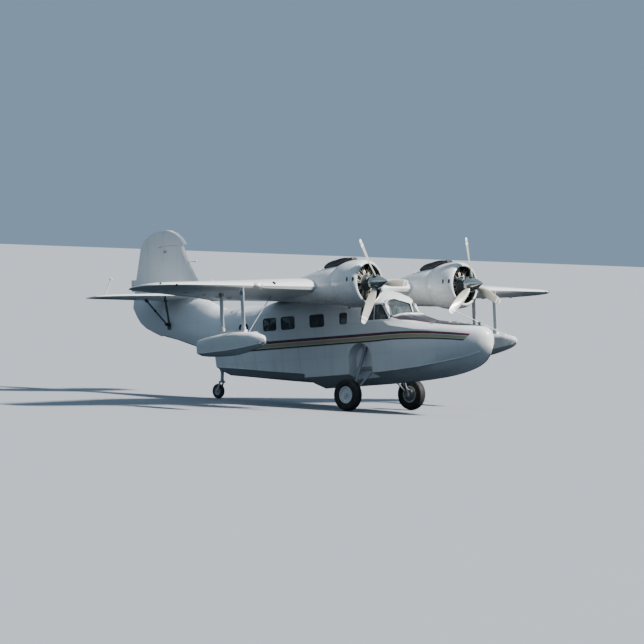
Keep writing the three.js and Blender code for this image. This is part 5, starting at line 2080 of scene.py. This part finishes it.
@dataclass
class FloatFittings(Group):
    """Spray strips, covers, cleats and strut plates of the wing floats.

    A row gives x, the keel's height, and the strips' distance from the middle and height.
    """

    middle: float = 4.74
    rows: Rows = (
        (-3.06, 0.930, 0.095, 0.975), (-3.32, 0.845, 0.175, 0.925), (-3.84, 0.745, 0.225, 0.870),
        (-4.34, 0.735, 0.230, 0.845), (-4.75, 0.750, 0.205, 0.835), (-5.02, 0.785, 0.162, 0.840))
    cover: Rows = ((-0.010, 0.052), (0.004, 0.052), (0.0075, 0.047), (0.008, 0.0))
    cover_x: tuple[float, ...] = (-3.33, -3.98, -4.72)
    cover_off: float = 0.06
    cleat_x: float = -3.20
    strut_x: tuple[float, float] = (-3.65, -4.32)
    plates: tuple[tuple[str, str, float, float], ...] = (
        ("foot", "white_paint", 1.345, 0.062), ("head", "grey_paint", 2.185, 0.042))
    plate_layers: Rows = ((0.060, 1.0, 0.026), (0.048, 1.35, 0.021))

    def strips(self, side: str, centre: float) -> None:
        """Makes one float's spray strips and its keel strip.

        Args:
            side: the float's name.
            centre: the float's middle across.
        """
        strips = Shape()
        for k in (-1, 1):
            strips.bend([(x, centre + k * half, z) for x, _, half, z in self.rows], 5, 0.0075)
        self.shop.piece(strips, f"float_strips_{side}", "white_paint")
        keel = Shape().bend([(x, centre, z + 0.002) for x, z, _, _ in self.rows], 5, 0.009)
        self.shop.piece(keel, f"float_keel_{side}", "worn_steel")

    def deck(self, side: str, sign: float, screws: Spots) -> None:
        """Makes one float's covers and its cleat.

        Args:
            side: the float's name.
            sign: 1 to port, -1 to starboard.
            screws: the list that the covers' screws are added to.
        """
        skin = self.shop.skin(f"float_{side}")
        covers = Shape()
        for x in self.cover_x:
            spot, normal = skin.hit((x, sign * (self.middle - self.cover_off), ABOVE))
            covers.turned(self.cover, spot, normal, 28)
            across = normal.orthogonal().normalized()
            other = normal.cross(across)
            for t in angles(8):
                out = (across * math.cos(t) + other * math.sin(t)) * 0.043
                screws.add(spot + out + normal * 0.0072, normal)
        spot, normal = skin.hit((self.cleat_x, sign * self.middle, ABOVE))
        top = spot + normal * 0.040
        cleat = Shape().bend([spot - normal * 0.002, top + Vector((-0.02, 0, 0)), top + Vector((-0.06, 0, 0)),
                              spot + Vector((-0.085, 0, 0.012))], 5, 0.007)
        self.shop.piece(covers, f"float_covers_{side}", "white_paint")
        self.shop.piece(cleat, f"float_cleat_{side}", "steel")

    def build(self) -> None:
        """Makes the floats' fittings."""
        for side, sign in SIDES:
            centre, screws = sign * self.middle, Spots()
            self.strips(side, centre)
            self.deck(side, sign, screws)
            for part, finish, z, high in self.plates:
                plates = Shape()
                for x in self.strut_x:
                    for k in (-1, 1):
                        plates.rings([[(x + wide * c, centre + k * out, z + high * share * s)
                                       for c, s in OCTAGON] for wide, share, out in self.plate_layers])
                        for dx in (-0.032, 0.032):
                            for dz in (-0.030, 0.030):
                                screws.add((x + dx, centre + k * 0.0262, z + dz), (0, k, 0))
                self.shop.piece(plates, f"float_strut_{part}_plates_{side}", finish, bevel=0.0008)
            self.shop.studs(screws, f"float_screws_{side}", radius=0.0050, height=0.0022, sides=6)


# Landing gear


def both_ways(half: Sequence[Point]) -> list[Point]:
    """A wheel's section from its half: distance along the axle and radius."""
    return [*half, *((-along, radius) for along, radius in reversed(half) if along)]


@dataclass
class MainWheels(Group):
    """Ribbed tyres, wheel hardware, brakes and the legs' small parts."""

    centre: Point = (-3.55, 1.20, -0.24)
    section: Rows = (
        (-0.0895, 0.2070), (-0.0960, 0.2180), (-0.1040, 0.2240), (-0.1060, 0.2300), (-0.1120, 0.2600),
        (-0.1150, 0.2850), (-0.1130, 0.3120), (-0.1040, 0.3440), (-0.0960, 0.3590), (-0.0880, 0.3640),
        (-0.0840, 0.3720), (-0.0600, 0.3815), (-0.0540, 0.3830), (-0.0530, 0.3770), (-0.0470, 0.3770),
        (-0.0460, 0.3850), (-0.0200, 0.3892), (-0.0190, 0.3825), (-0.0130, 0.3825), (-0.0120, 0.3896),
        (0.0000, 0.3899))
    cap: Rows = ((0.0600, 0.046), (0.0800, 0.046), (0.0900, 0.040), (0.0960, 0.026), (0.0975, 0.0))
    drum: Rows = ((0.0800, 0.1830), (0.0880, 0.1850), (0.0905, 0.1950), (0.0880, 0.2040), (0.0800, 0.2046))
    rib: Rows = ((0.086, 0.010, 0.052), (0.130, 0.008, 0.044), (0.174, 0.006, 0.036))
    link: Rows = ((0.045, -0.060, 0.190), (0.128, -0.045, 0.105), (0.050, 0.0, 0.030))
    link_sides: tuple[float, float] = (0.955, 0.999)
    pin: Rows = ((0.128, 0.900, 0.105), (0.128, 0.965, 0.105))
    brake_foot: Point = (0, 1.088, 0)
    brake: Rows = ((0.0, 0.100), (0.010, 0.158), (0.022, 0.160), (0.024, 0.150), (0.030, 0.060))
    pipe: Rows = ((-0.05, 1.082, 0.06), (-0.10, 1.060, 0.10), (-0.075, 1.00, 0.19),
                  (-0.060, 0.900, 0.340), (-0.055, 0.800, 0.480))

    def cover(self) -> Shape:
        """Hub cap, drum rim and stiffening ribs of the wheel's outer side.

        Returns:
            The cover of the port wheel about its middle.
        """
        made = Shape().turned(self.cap, axis=PORT)
        made.turned(self.drum, ORIGIN, PORT, 72, closed=True)
        rib = Shape().rings([[(x, y, radius) for x, y in (
            (-half, 0.026), (half, 0.026), (half * 0.5, top), (-half * 0.5, top))]
            for radius, half, top in self.rib])
        for angle in angles(8, 0.2):
            made.merge(rib, Matrix.Rotation(angle, 4, "Y"))
        return made

    def leg(self) -> Shape:
        """Scissor links, brake plate and pipe beside one shock strut.

        Returns:
            The small parts of the port leg, with the axle's place as x and z of nought.
        """
        made = Shape()
        for side in self.link_sides:
            top, knee, foot = (Vector((x, side + y, z)) for x, y, z in self.link)
            made.rod(top, knee, 0.010, 0.008, 8)
            made.rod(knee, foot, 0.008, 0.010, 8)
        made.rod(*self.pin, 0.009)
        made.turned(self.brake, self.brake_foot, PORT, 48)
        return made.bend(self.pipe, 5, 0.0055)

    def build(self) -> None:
        """Makes both wheels' tyres and hardware."""
        for side, sign in SIDES:
            place = Matrix.Translation(sided([self.centre], sign)[0])
            body = f"wheel_{side}"
            tyre = Shape().turned(both_ways(self.section), ORIGIN, PORT, 96, closed=True)
            self.shop.piece(tyre, f"tyre_rubber_{side}", "tyre_rubber", body, "tyre", crease=30,
                            place=place, replaces=(f"tyre_{side}",))
            self.shop.piece(self.cover().on(sign), f"wheel_cover_{side}", "white_paint", body, place=place)
            nuts = Spots()
            nuts.wheel_ring(8, 0.128, sign * 0.030)
            nuts.wheel_ring(6, 0.030, sign * 0.0935, 0.3)
            self.shop.studs(nuts, f"wheel_nuts_{side}", body, radius=0.0085, height=0.009, sides=6,
                            place=place)
            valve = Shape().rod((0, 0.035, -0.155), (0, 0.066, -0.163), 0.0045, sides=8)
            self.shop.piece(valve.on(sign), f"tyre_valve_{side}", "steel", body, place=place)
            self.shop.piece(self.leg().on(sign), f"gear_leg_links_{side}", "worn_steel",
                            place=Matrix.Translation((self.centre[0], 0.0, self.centre[2])))


@dataclass
class TailWheel(Group):
    """Tail tyre, its hub and the hub's nuts."""

    section: Rows = (
        (-0.0420, 0.0990), (-0.0455, 0.1080), (-0.0490, 0.1280), (-0.0498, 0.1500), (-0.0440, 0.1680),
        (-0.0330, 0.1790), (-0.0200, 0.1835), (-0.0190, 0.1795), (-0.0130, 0.1800), (-0.0120, 0.1868),
        (0.0, 0.1898))
    hub: Rows = (
        (-0.041, 0.0175), (-0.041, 0.036), (-0.030, 0.044), (-0.022, 0.052), (-0.022, 0.084),
        (-0.041, 0.0940), (-0.044, 0.0985))

    def build(self) -> None:
        """Makes the tail wheel in place of its solid."""
        low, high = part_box("tail_wheel")
        middle = (Vector(low) + Vector(high)) / 2
        place = self.shop.matrix.inverted() @ Matrix.Translation(middle)
        tyre = Shape().turned(both_ways(self.section), ORIGIN, PORT, 72, closed=True)
        self.shop.piece(tyre, "tail_tyre", "tyre_rubber", "tail_wheel", "tyre", place=place,
                        replaces=("tail_wheel",))
        hub = Shape().turned(both_ways(self.hub), ORIGIN, PORT, 56, closed=True)
        self.shop.piece(hub, "tail_hub", "grey_paint", "tail_wheel", place=place)
        nuts = Spots()
        for sign in BOTH:
            nuts.wheel_ring(6, 0.068, sign * 0.022)
        self.shop.studs(nuts, "tail_hub_nuts", "tail_wheel", radius=0.0065, height=0.006, sides=6,
                        place=place)


# Cabin


@dataclass
class Seats(Group):
    """Sprung seats: tube frames with swollen, sewn cushions and lap belts.

    A cushion is given by its length, width and thickness, and seats are placed by their front
    edge. Widths of cushions are scaled from the cockpit seat's.
    """

    pan: Point = (0.430, 0.360, 0.082)
    back: Point = (0.560, 0.370, 0.078)
    voxel: float = 0.012
    pressure: float = 4.0
    frames: int = 20
    most_move: float = 0.014
    channels: int = 4
    channel_depth: float = 0.013
    channel_half: float = 0.010
    piping: float = 0.004
    piping_half: float = 0.007
    rim: float = 0.44
    cockpit: tuple[float, float] = (-2.89, 0.212)
    cockpit_width: float = 0.39
    cockpit_floor: float = 0.72
    rows: tuple[float, ...] = (-4.25, -5.15, -5.98)
    cabin_y: float = 0.400
    cabin_width: float = 0.42
    cabin_floor: float = 0.74
    rail_height: float = 1.022
    tube_in: float = 0.014
    leg_in: float = 0.060
    leg_x: tuple[float, float] = (-0.090, -0.400)
    leg_foot: float = 0.018
    belt_half: float = 0.022
    belt_thick: float = 0.003
    floor_rail: tuple[float, Point, Point] = (0.17, (-5.36, 0.0, 0.730), (2.10, 0.028, 0.018))
    side_tube: Rows = ((-0.020, 1.022), (-0.440, 1.022), (-0.500, 1.060), (-0.541, 1.160), (-0.548, 1.600))
    cross_tubes: Rows = ((-0.030, 1.022), (-0.430, 1.022), (-0.547, 1.30), (-0.548, 1.598))

    def pad(self, size: Point, name: str) -> bpy.types.Mesh:
        """A flat-lying cushion about its middle, swollen by cloth simulation and sewn.

        Args:
            size: length, width and thickness.
            name: the mesh's name.

        Returns:
            The cushion's mesh.
        """
        long, wide, thick = size
        net = bmesh.new()
        bmesh.ops.create_cube(net, size=1.0)
        bmesh.ops.scale(net, vec=(long * 0.94, wide * 0.94, thick * 0.62), verts=net.verts)
        bmesh.ops.subdivide_edges(net, edges=net.edges, cuts=5, use_grid_fill=True)
        for vertex in net.verts:
            a, b = vertex.co.x / (long / 2), vertex.co.y / (wide / 2)
            vertex.co.z *= 0.80 + 0.5 * (1 - a * a) * (1 - b * b)
            vertex.co.x *= 1 - 0.035 * (1 - b * b)
            vertex.co.y *= 1 - 0.035 * (1 - a * a)
        mesh = bpy.data.meshes.new(name)
        net.to_mesh(mesh)
        net.free()
        holder = bpy.data.objects.new("pad_holder", mesh)
        bpy.context.scene.collection.objects.link(holder)
        remesh = holder.modifiers.new("remesh", "REMESH")
        remesh.mode = "VOXEL"
        remesh.voxel_size = self.voxel
        before = settled(holder)
        holder.data = before
        after = self.swell(holder)
        for old, new in zip(before.vertices, after.vertices):
            move = new.co - old.co
            if move.length > self.most_move:
                new.co = old.co + move * (self.most_move / move.length)
        bpy.data.objects.remove(holder)
        self.sew(after, size)
        return after

    def swell(self, holder: bpy.types.Object) -> bpy.types.Mesh:
        """Blows a cushion up as cloth.

        Args:
            holder: the object with the cushion's mesh.

        Returns:
            The swollen mesh.
        """
        cloth = holder.modifiers.new("cloth", "CLOTH")
        cloth.settings.use_pressure = True
        cloth.settings.uniform_pressure_force = self.pressure
        cloth.settings.effector_weights.gravity = 0.0
        cloth.settings.quality = 5
        for moment in range(1, self.frames + 1):
            bpy.context.scene.frame_set(moment)
        swollen = settled(holder)
        bpy.context.scene.frame_set(1)
        return swollen

    def sew(self, mesh: bpy.types.Mesh, size: Point) -> None:
        """Presses sewn channels into the top and raises a piping seam round the edge.

        Args:
            mesh: the cushion's mesh.
            size: its length, width and thickness.
        """
        long, wide, _ = size
        pitch = long * 0.82 / self.channels
        for vertex in mesh.vertices:
            x, y, z = vertex.co
            if z > 0 and abs(x) < long * self.rim:
                gap = abs((x + long * 0.41) % pitch - pitch / 2) - pitch / 2
                fade = min(1.0, max(0.0, (0.47 - abs(y / wide)) * 9))
                vertex.co.z -= self.channel_depth * math.exp(-(gap / self.channel_half) ** 2) * fade
            raised = self.piping * math.exp(-(z / self.piping_half) ** 2)
            if abs(x) / long > self.rim:
                vertex.co.x += math.copysign(raised, x)
            if abs(y) / wide > self.rim:
                vertex.co.y += math.copysign(raised, y)

    def place_pads(self, name: str, x: float, y: float, width: float,
                   meshes: Sequence[bpy.types.Mesh]) -> None:
        """Sets the two cushions of one seat.

        Args:
            name: the seat's name.
            x: its front edge.
            y: its middle.
            width: its width.
            meshes: the cushions of pan and back.
        """
        scale = Matrix.Diagonal((1.0, width / self.cockpit_width, 1.0, 1.0))
        stand = Matrix(((0, 0, 1, 0), (0, 1, 0, 0), (-1, 0, 0, 0), (0, 0, 0, 1)))
        lies = Matrix.Translation((x - 0.232, y, 1.070)) @ scale
        leans = Matrix.Translation((x - 0.500, y, 1.350)) @ stand @ scale
        for mesh, place, part in zip(meshes, (lies, leans), ("pan", "back")):
            made = self.shop.piece(mesh.copy(), f"seat_{part}_{name}", "seat_cloth", "hull", "seat_cloth",
                                   crease=180, levels=1, place=place)

    def frame_of(self, width: float, floor: float) -> tuple[Shape, Shape]:
        """The tube frame and the belt of one seat.

        Args:
            width: the seat's width.
            floor: the height that its legs stand on.

        Returns:
            The tubes and the belt, with the middle of the seat's front edge as x and y of nought.
        """
        tubes, belt = Shape(), Shape()
        half = width / 2 - self.tube_in
        for k in (-1, 1):
            side = k * half
            tubes.bend([(x, side, z) for x, z in self.side_tube], 5, 0.0115, 10)
            for x in self.leg_x:
                foot = (x, k * (half - self.leg_in), floor + self.leg_foot)
                tubes.rod(foot, (x, side, self.rail_height), 0.0110, sides=10)
        for x, z in self.cross_tubes:
            tubes.rod((x, -half, z), (x, half, z), 0.0105, sides=10)
        rise = Vector((0, 0, self.belt_thick))
        for k in (-1, 1):
            path = smooth([(-0.450, k * (half - 0.005), 1.030), (-0.400, k * (half - 0.020), 1.125),
                           (-0.300, k * 0.110, 1.134), (-0.235, k * 0.015, 1.132)], 6)
            rings = []
            for i, spot in enumerate(path):
                ahead = (path[min(i + 1, len(path) - 1)] - path[max(i - 1, 0)]).normalized()
                across = ahead.cross(Vector(UP)).normalized() * self.belt_half
                rings.append([spot - across, spot + across, spot + across + rise, spot - across + rise])
            belt.rings(rings)
        return tubes, belt

    def build(self) -> None:
        """Makes every seat."""
        shop = self.shop
        meshes = (self.pad(self.pan, "pan_pad"), self.pad(self.back, "back_pad"))
        for side, sign in SIDES:
            x, y, width = self.cockpit[0], sign * self.cockpit[1], self.cockpit_width
            frame, belts = self.frame_of(width, self.cockpit_floor)
            place = Matrix.Translation((x, y, 0))
            shop.piece(frame, f"cockpit_seat_frame_{side}", "grey_paint", "hull", "grey_paint",
                       place=place, replaces=(f"cockpit_seat_{side}",))
            shop.piece(belts, f"cockpit_belt_{side}", "belt_cloth", "hull", "seat_cloth", crease=60,
                       place=place)
            self.place_pads(f"cockpit_{side}", x, y, width, meshes)
            tubes, straps = Shape(), Shape()
            y, width = sign * self.cabin_y, self.cabin_width
            frame, strap = self.frame_of(width, self.cabin_floor)
            for i, x in enumerate(self.rows):
                place = Matrix.Translation((x, y, 0))
                tubes.merge(frame, place)
                straps.merge(strap, place)
                self.place_pads(f"cabin_{side}_{i + 1}", x, y, width, meshes)
            apart, middle, size = self.floor_rail
            for k in (-apart, apart):
                tubes.block(Vector(middle) + Vector((0, y + k, 0)), size)
            shop.piece(tubes, f"cabin_seat_frames_{side}", "grey_paint", "hull", "grey_paint",
                       replaces=(f"cabin_seats_{side}",))
            shop.piece(straps, f"cabin_belts_{side}", "belt_cloth", "hull", "seat_cloth", crease=60)


@dataclass
class Cockpit(Group):
    """Dials, control wheels, levers and pedals.

    A dial is given by y, z and radius.
    """

    panel_x: float = -2.681
    dials: Rows = (
        (0.30, 1.40, 0.040), (0.205, 1.40, 0.040), (0.30, 1.295, 0.040), (0.205, 1.295, 0.040),
        (0.110, 1.40, 0.034), (0.110, 1.305, 0.034), (-0.30, 1.40, 0.040), (-0.205, 1.40, 0.040),
        (-0.30, 1.295, 0.040), (-0.205, 1.295, 0.040), (-0.110, 1.40, 0.034), (-0.110, 1.305, 0.034),
        (0.0, 1.425, 0.028), (0.0, 1.350, 0.028), (0.0, 1.275, 0.028), (0.405, 1.36, 0.028),
        (-0.405, 1.36, 0.028))
    rim: Rows = ((-0.001, 0.007), (0.007, 0.006), (0.010, 0.001), (0.008, -0.002), (-0.001, -0.002))
    face: Rows = ((-0.001, -0.001), (0.0025, -0.001))
    face_lift: float = 0.0025
    ticks: int = 8
    tick_first: float = 0.75
    tick_sweep: float = 1.5
    tick_lift: float = -0.0032
    hand_lift: float = -0.0040
    dial_screw_out: float = 0.012
    wheel: tuple[float, float] = (0.128, 0.100)
    wheel_angles: tuple[float, ...] = (2.4, 2.9, 3.5, 4.1, 4.712, 5.32, 5.9, 6.52, 7.02)
    wheel_y: float = 0.235
    wheel_x: float = -2.82
    wheel_z: float = 1.175
    boss: Rows = ((0.02, 0, -0.02), (-0.012, 0, -0.02))
    spoke: Rows = ((0, -0.115, -0.02), (0, 0.115, -0.02))
    stick: Rows = ((-2.75, 0.0, 0.725), (-2.76, 0.0, 0.98), (-2.80, 0.0, 1.13))
    bar: Point = (-2.80, 0.235, 1.145)
    pedal_y: float = 0.09
    pedal_rod: Rows = ((-2.635, 0.725), (-2.640, 0.850))
    pedal_place: tuple[float, float] = (-2.648, 0.880)
    pedal_size: Point = (0.016, 0.090, 0.120)
    pedal_tilt: float = 0.3
    lever_y: tuple[float, ...] = (-0.075, -0.045, -0.015, 0.015, 0.045, 0.075)
    lever_x: float = -3.02
    lever_z: float = 2.125
    lever_tip: Point = (-0.03, 0, -0.135)
    lever_spread: float = 0.004
    lever_box: Rows = ((-3.02, 0, 2.140), (0.150, 0.200, 0.040))
    knob_way: Point = (-0.2, 0, -1)
    knob: Rows = ((-0.014, 0.004), (-0.010, 0.011), (0.0, 0.0145), (0.010, 0.011), (0.015, 0.0))

    def panel(self) -> None:
        """Makes the dials with their marks and screws."""
        rims, faces, hands, screws = Shape(), Shape(), Shape(), Spots()
        for i, (y, z, r) in enumerate(self.dials):
            centre = Vector((self.panel_x, y, z))
            rims.turned([(lift, r + wide) for lift, wide in self.rim], centre, BACK, closed=True)
            face = [(lift, r + wide) for lift, wide in self.face]
            faces.turned([*face, (self.face_lift, 0.0)], centre, BACK)
            for k in range(self.ticks):
                turn = roll(math.pi * (self.tick_first + self.tick_sweep * k / (self.ticks - 1)))
                spot = centre + turn @ Vector((self.tick_lift, 0, r * 0.80))
                hands.block(spot, (0.0008, 0.0022, r * 0.16), turn)
            turn = roll(0.7 + i * 1.3)
            spot = centre + turn @ Vector((self.hand_lift, 0, r * 0.30))
            hands.block(spot, (0.0012, 0.0030, r * 0.84), turn)
            for angle in angles(4, math.pi / 4):
                screws.add(centre + around(angle, r + self.dial_screw_out, -0.001), BACK)
        self.shop.piece(rims, "dial_rims", "black_paint")
        self.shop.piece(faces, "dial_faces", "panel_paint")
        self.shop.piece(hands, "dial_marks", "rod_metal")
        self.shop.studs(screws, "dial_screws", radius=0.0030, height=0.0010)

    def controls(self) -> None:
        """Makes the control column with its two wheels, and the pedals."""
        column, grips, pedals = Shape(), Shape(), Shape()
        column.bend(self.stick, 5, 0.024, 14)
        column.rod(*(sided([self.bar], sign)[0] for sign in (-1, 1)), 0.017, sides=14)
        wide, high = self.wheel
        for sign in BOTH:
            middle = Vector((self.wheel_x, sign * self.wheel_y, self.wheel_z))
            grips.bend([middle + Vector((0, wide * math.cos(a), high * math.sin(a)))
                        for a in self.wheel_angles], 4, 0.0125, 10)
            grips.rod(*(middle + Vector(p) for p in self.boss), 0.030, 0.022, 16)
            grips.rod(*(middle + Vector(p) for p in self.spoke), 0.009, sides=10)
            for k in (-self.pedal_y, self.pedal_y):
                y = sign * self.wheel_y + k
                pedals.rod(*((x, y, z) for x, z in self.pedal_rod), 0.009, sides=8)
                x, z = self.pedal_place
                pedals.block((x, y, z), self.pedal_size, Matrix.Rotation(self.pedal_tilt, 4, "Y"))
        self.shop.piece(column, "control_column", "grey_paint")
        self.shop.piece(grips, "control_wheels", "black_paint")
        self.shop.piece(pedals, "rudder_pedals", "worn_steel", bevel=0.003)

    def throttles(self) -> None:
        """Makes the levers that hang from the roof."""
        levers, knobs = Shape(), Shape()
        for i, y in enumerate(self.lever_y):
            foot = Vector((self.lever_x, y, self.lever_z))
            tip = foot + Vector(self.lever_tip) + Vector(BACK) * self.lever_spread * (i % 3)
            levers.rod(foot, tip, 0.0045, sides=8)
            knobs.turned(self.knob, tip, self.knob_way, 14)
        levers.block(*self.lever_box)
        self.shop.piece(levers, "throttle_levers", "grey_paint", bevel=0.003)
        self.shop.piece(knobs, "throttle_knobs", "black_paint")

    def build(self) -> None:
        """Makes the cockpit's equipment."""
        self.panel()
        self.controls()
        self.throttles()


@dataclass
class Cabin(Group):
    """Floor panels with their screws."""

    count: int = 8
    first: float = -3.84
    pitch: float = 0.485
    height: float = 0.7255
    size: Point = (0.470, 0.36, 0.007)
    screw_x: tuple[float, ...] = (-0.22, 0.0, 0.22)
    screw_y: tuple[float, float] = (-0.165, 0.165)
    screw_z: float = 0.7292

    def build(self) -> None:
        """Makes the cabin's floor cover."""
        floor, screws = Shape(), Spots()
        for i in range(self.count):
            middle = self.first - i * self.pitch
            floor.block((middle, 0.0, self.height), self.size)
            for dx in self.screw_x:
                for dy in self.screw_y:
                    screws.add((middle + dx, dy, self.screw_z), UP)
        self.shop.piece(floor, "floor_panels", "panel_paint", bevel=0.0015)
        self.shop.studs(screws, "floor_screws", radius=0.0050, height=0.0010)


# Stage


@dataclass
class Studio:
    """Pale floor, soft light and the camera at the photograph's angle."""

    azimuth: float = math.radians(40.97)
    elevation: float = math.radians(-2.644)
    roll: float = math.radians(-2.449)
    distance: float = 100.0
    focal: float = 4051.6
    frame_width: int = 644
    target: Point = (-5.5, 0.0, 1.8)
    off_centre: tuple[float, float] = (-0.1422, 0.1491)
    clip: tuple[float, float] = (1.0, 2000.0)
    floor_radius: float = 600.0
    sensor: float = 36.0
    sky: tuple[float, ...] = (0.50, 0.73, 1.0, 1.0)
    sky_strength: float = 0.44
    suns: tuple[tuple[str, Point, float, float, Colour], ...] = (
        ("key", (0.66, 0.34, 0.67), 9.0, 7.0, (1.0, 0.97, 0.93)),
        ("fill", (0.25, -1.0, 0.30), 0.15, 40.0, (0.80, 0.90, 1.0)))
    pale: tuple[float, Colour, Colour] = (-0.001, (0.36, 0.38, 0.41), (0.34, 0.36, 0.39))
    dim: tuple[float, Colour, Colour] = (-0.004, (0.10, 0.115, 0.12), (0.09, 0.105, 0.11))

    def camera(self) -> None:
        """Sets the camera from the fit to the photograph, in the aircraft's axes."""
        a, e, r = self.azimuth, self.elevation, self.roll
        back = Vector((math.sin(a) * math.cos(e), -math.cos(a) * math.cos(e), math.sin(e)))
        right = Vector((math.cos(a), math.sin(a), 0.0))
        up = back.cross(right)
        across = right * math.cos(r) + up * math.sin(r)
        above = up * math.cos(r) - right * math.sin(r)
        spot = (Vector(self.target) + back * self.distance
                - across * self.off_centre[0] - above * self.off_centre[1])
        basis = Matrix((across, above, back)).transposed().to_4x4()
        lens = bpy.data.cameras.new("camera")
        lens.sensor_width = self.sensor
        lens.lens = self.focal * self.sensor / self.frame_width
        lens.clip_start, lens.clip_end = self.clip
        made = bpy.data.objects.new("camera", lens)
        made.matrix_world = ATTITUDE.matrix() @ Matrix.Translation(spot) @ basis
        bpy.context.scene.collection.objects.link(made)
        bpy.context.scene.camera = made

    def light(self) -> None:
        """Sets a pale sky all round, a broad soft sun from port ahead and a weak fill."""
        world = bpy.data.worlds.new("world")
        world.use_nodes = True
        sky = world.node_tree.nodes["Background"]
        sky.inputs[0].default_value = self.sky
        sky.inputs[1].default_value = self.sky_strength
        bpy.context.scene.world = world
        for name, towards, power, spread, colour in self.suns:
            lamp = bpy.data.lights.new(name, "SUN")
            lamp.energy = power
            lamp.angle = math.radians(spread)
            lamp.color = colour
            made = bpy.data.objects.new(name, lamp)
            made.rotation_euler = Vector(towards).to_track_quat("Z", "Y").to_euler()
            bpy.context.scene.collection.objects.link(made)

    def disc(self, name: str, height: float, light: Colour, dark: Colour) -> bpy.types.Object:
        """Makes a wide disc of the stage.

        Args:
            name: the disc's name.
            height: its height in the row frame.
            light: its main colour.
            dark: the colour of its faint cloudiness.

        Returns:
            The disc.
        """
        net = bmesh.new()
        bmesh.ops.create_circle(net, cap_ends=True, segments=96, radius=self.floor_radius)
        mesh = bpy.data.meshes.new(name)
        net.to_mesh(mesh)
        net.free()
        made = bpy.data.objects.new(name, mesh)
        made.location.z = height
        bpy.context.scene.collection.objects.link(made)
        shader = Shader(name + "_finish")
        cloudy = shader.noise(0.8, detail=3.0) * 0.5
        mesh.materials.append(shader.finish(shader.mix(cloudy, light, dark), 0.85))
        return made

    def floor(self) -> None:
        """Sets a plain pale floor that reaches past every view, and the dim one that lights from below."""
        pale = self.disc("floor", *self.pale)
        pale.visible_diffuse = pale.visible_glossy = False
        dim = self.disc("floor_bounce", *self.dim)
        dim.visible_camera = dim.visible_shadow = False

    def build(self) -> None:
        """Sets camera, lights and floor."""
        self.camera()
        self.light()
        self.floor()


@dataclass
class PlainSkins(Group):
    """The solids whose shape is right, each with its finish."""

    finishes: dict[str, str] = field(default_factory=lambda: {
        "hull_bow": "hull_paint", "hull_bottom": "hull_paint", "side_wall_port": "hull_paint",
        "side_wall_starboard": "hull_paint", "entry_door": "hull_paint", "cabin_roof": "hull_paint",
        "cockpit_canopy": "canopy_paint", "tail_cone": "hull_paint", "bow_hatch": "black_paint",
        "mooring_bitt": "black_paint", "instrument_panel": "panel_paint",
        "wing_centre": "wing_paint", "fin": "fin_paint", "rudder": "fabric_paint",
        "tail_gear_leg": "grey_paint", "tail_wheel_fork": "grey_paint",
    })
    pairs: dict[str, str] = field(default_factory=lambda: {
        "wing_outer": "wing_paint", "aileron": "fabric_paint", "flap": "wing_paint",
        "tailplane": "wing_paint", "elevator": "fabric_paint", "nacelle": "cowl_paint",
        "float": "float_paint", "float_struts": "white_paint", "float_stay": "grey_paint",
        "tail_struts": "strut_paint", "main_gear_leg": "grey_paint", "wheel_rim": "white_paint",
    })

    def build(self) -> None:
        """Dresses every solid."""
        for node, finish in self.finishes.items():
            self.shop.dress(node, finish)
        for stem, finish in self.pairs.items():
            for side, _ in SIDES:
                self.shop.dress(f"{stem}_{side}", finish)


def main() -> None:
    """Builds the scene piece by piece."""
    logging.basicConfig(level=logging.INFO, format="%(message)s")
    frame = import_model()
    Studio().build()
    shop = Workshop(frame, Finishes())
    PlainSkins(shop).build()
    for side, sign in SIDES:
        for group in (Engine, Propeller, Cowl):
            group(shop, side, sign).build()
    for group in (Windows, HullFittings, WingFittings, TailFittings, FloatFittings, MainWheels,
                  TailWheel, Seats, Cockpit, Cabin):
        group(shop).build()
    LOG.info("%d pieces made", shop.count)


if __name__ == "__main__":
    main()
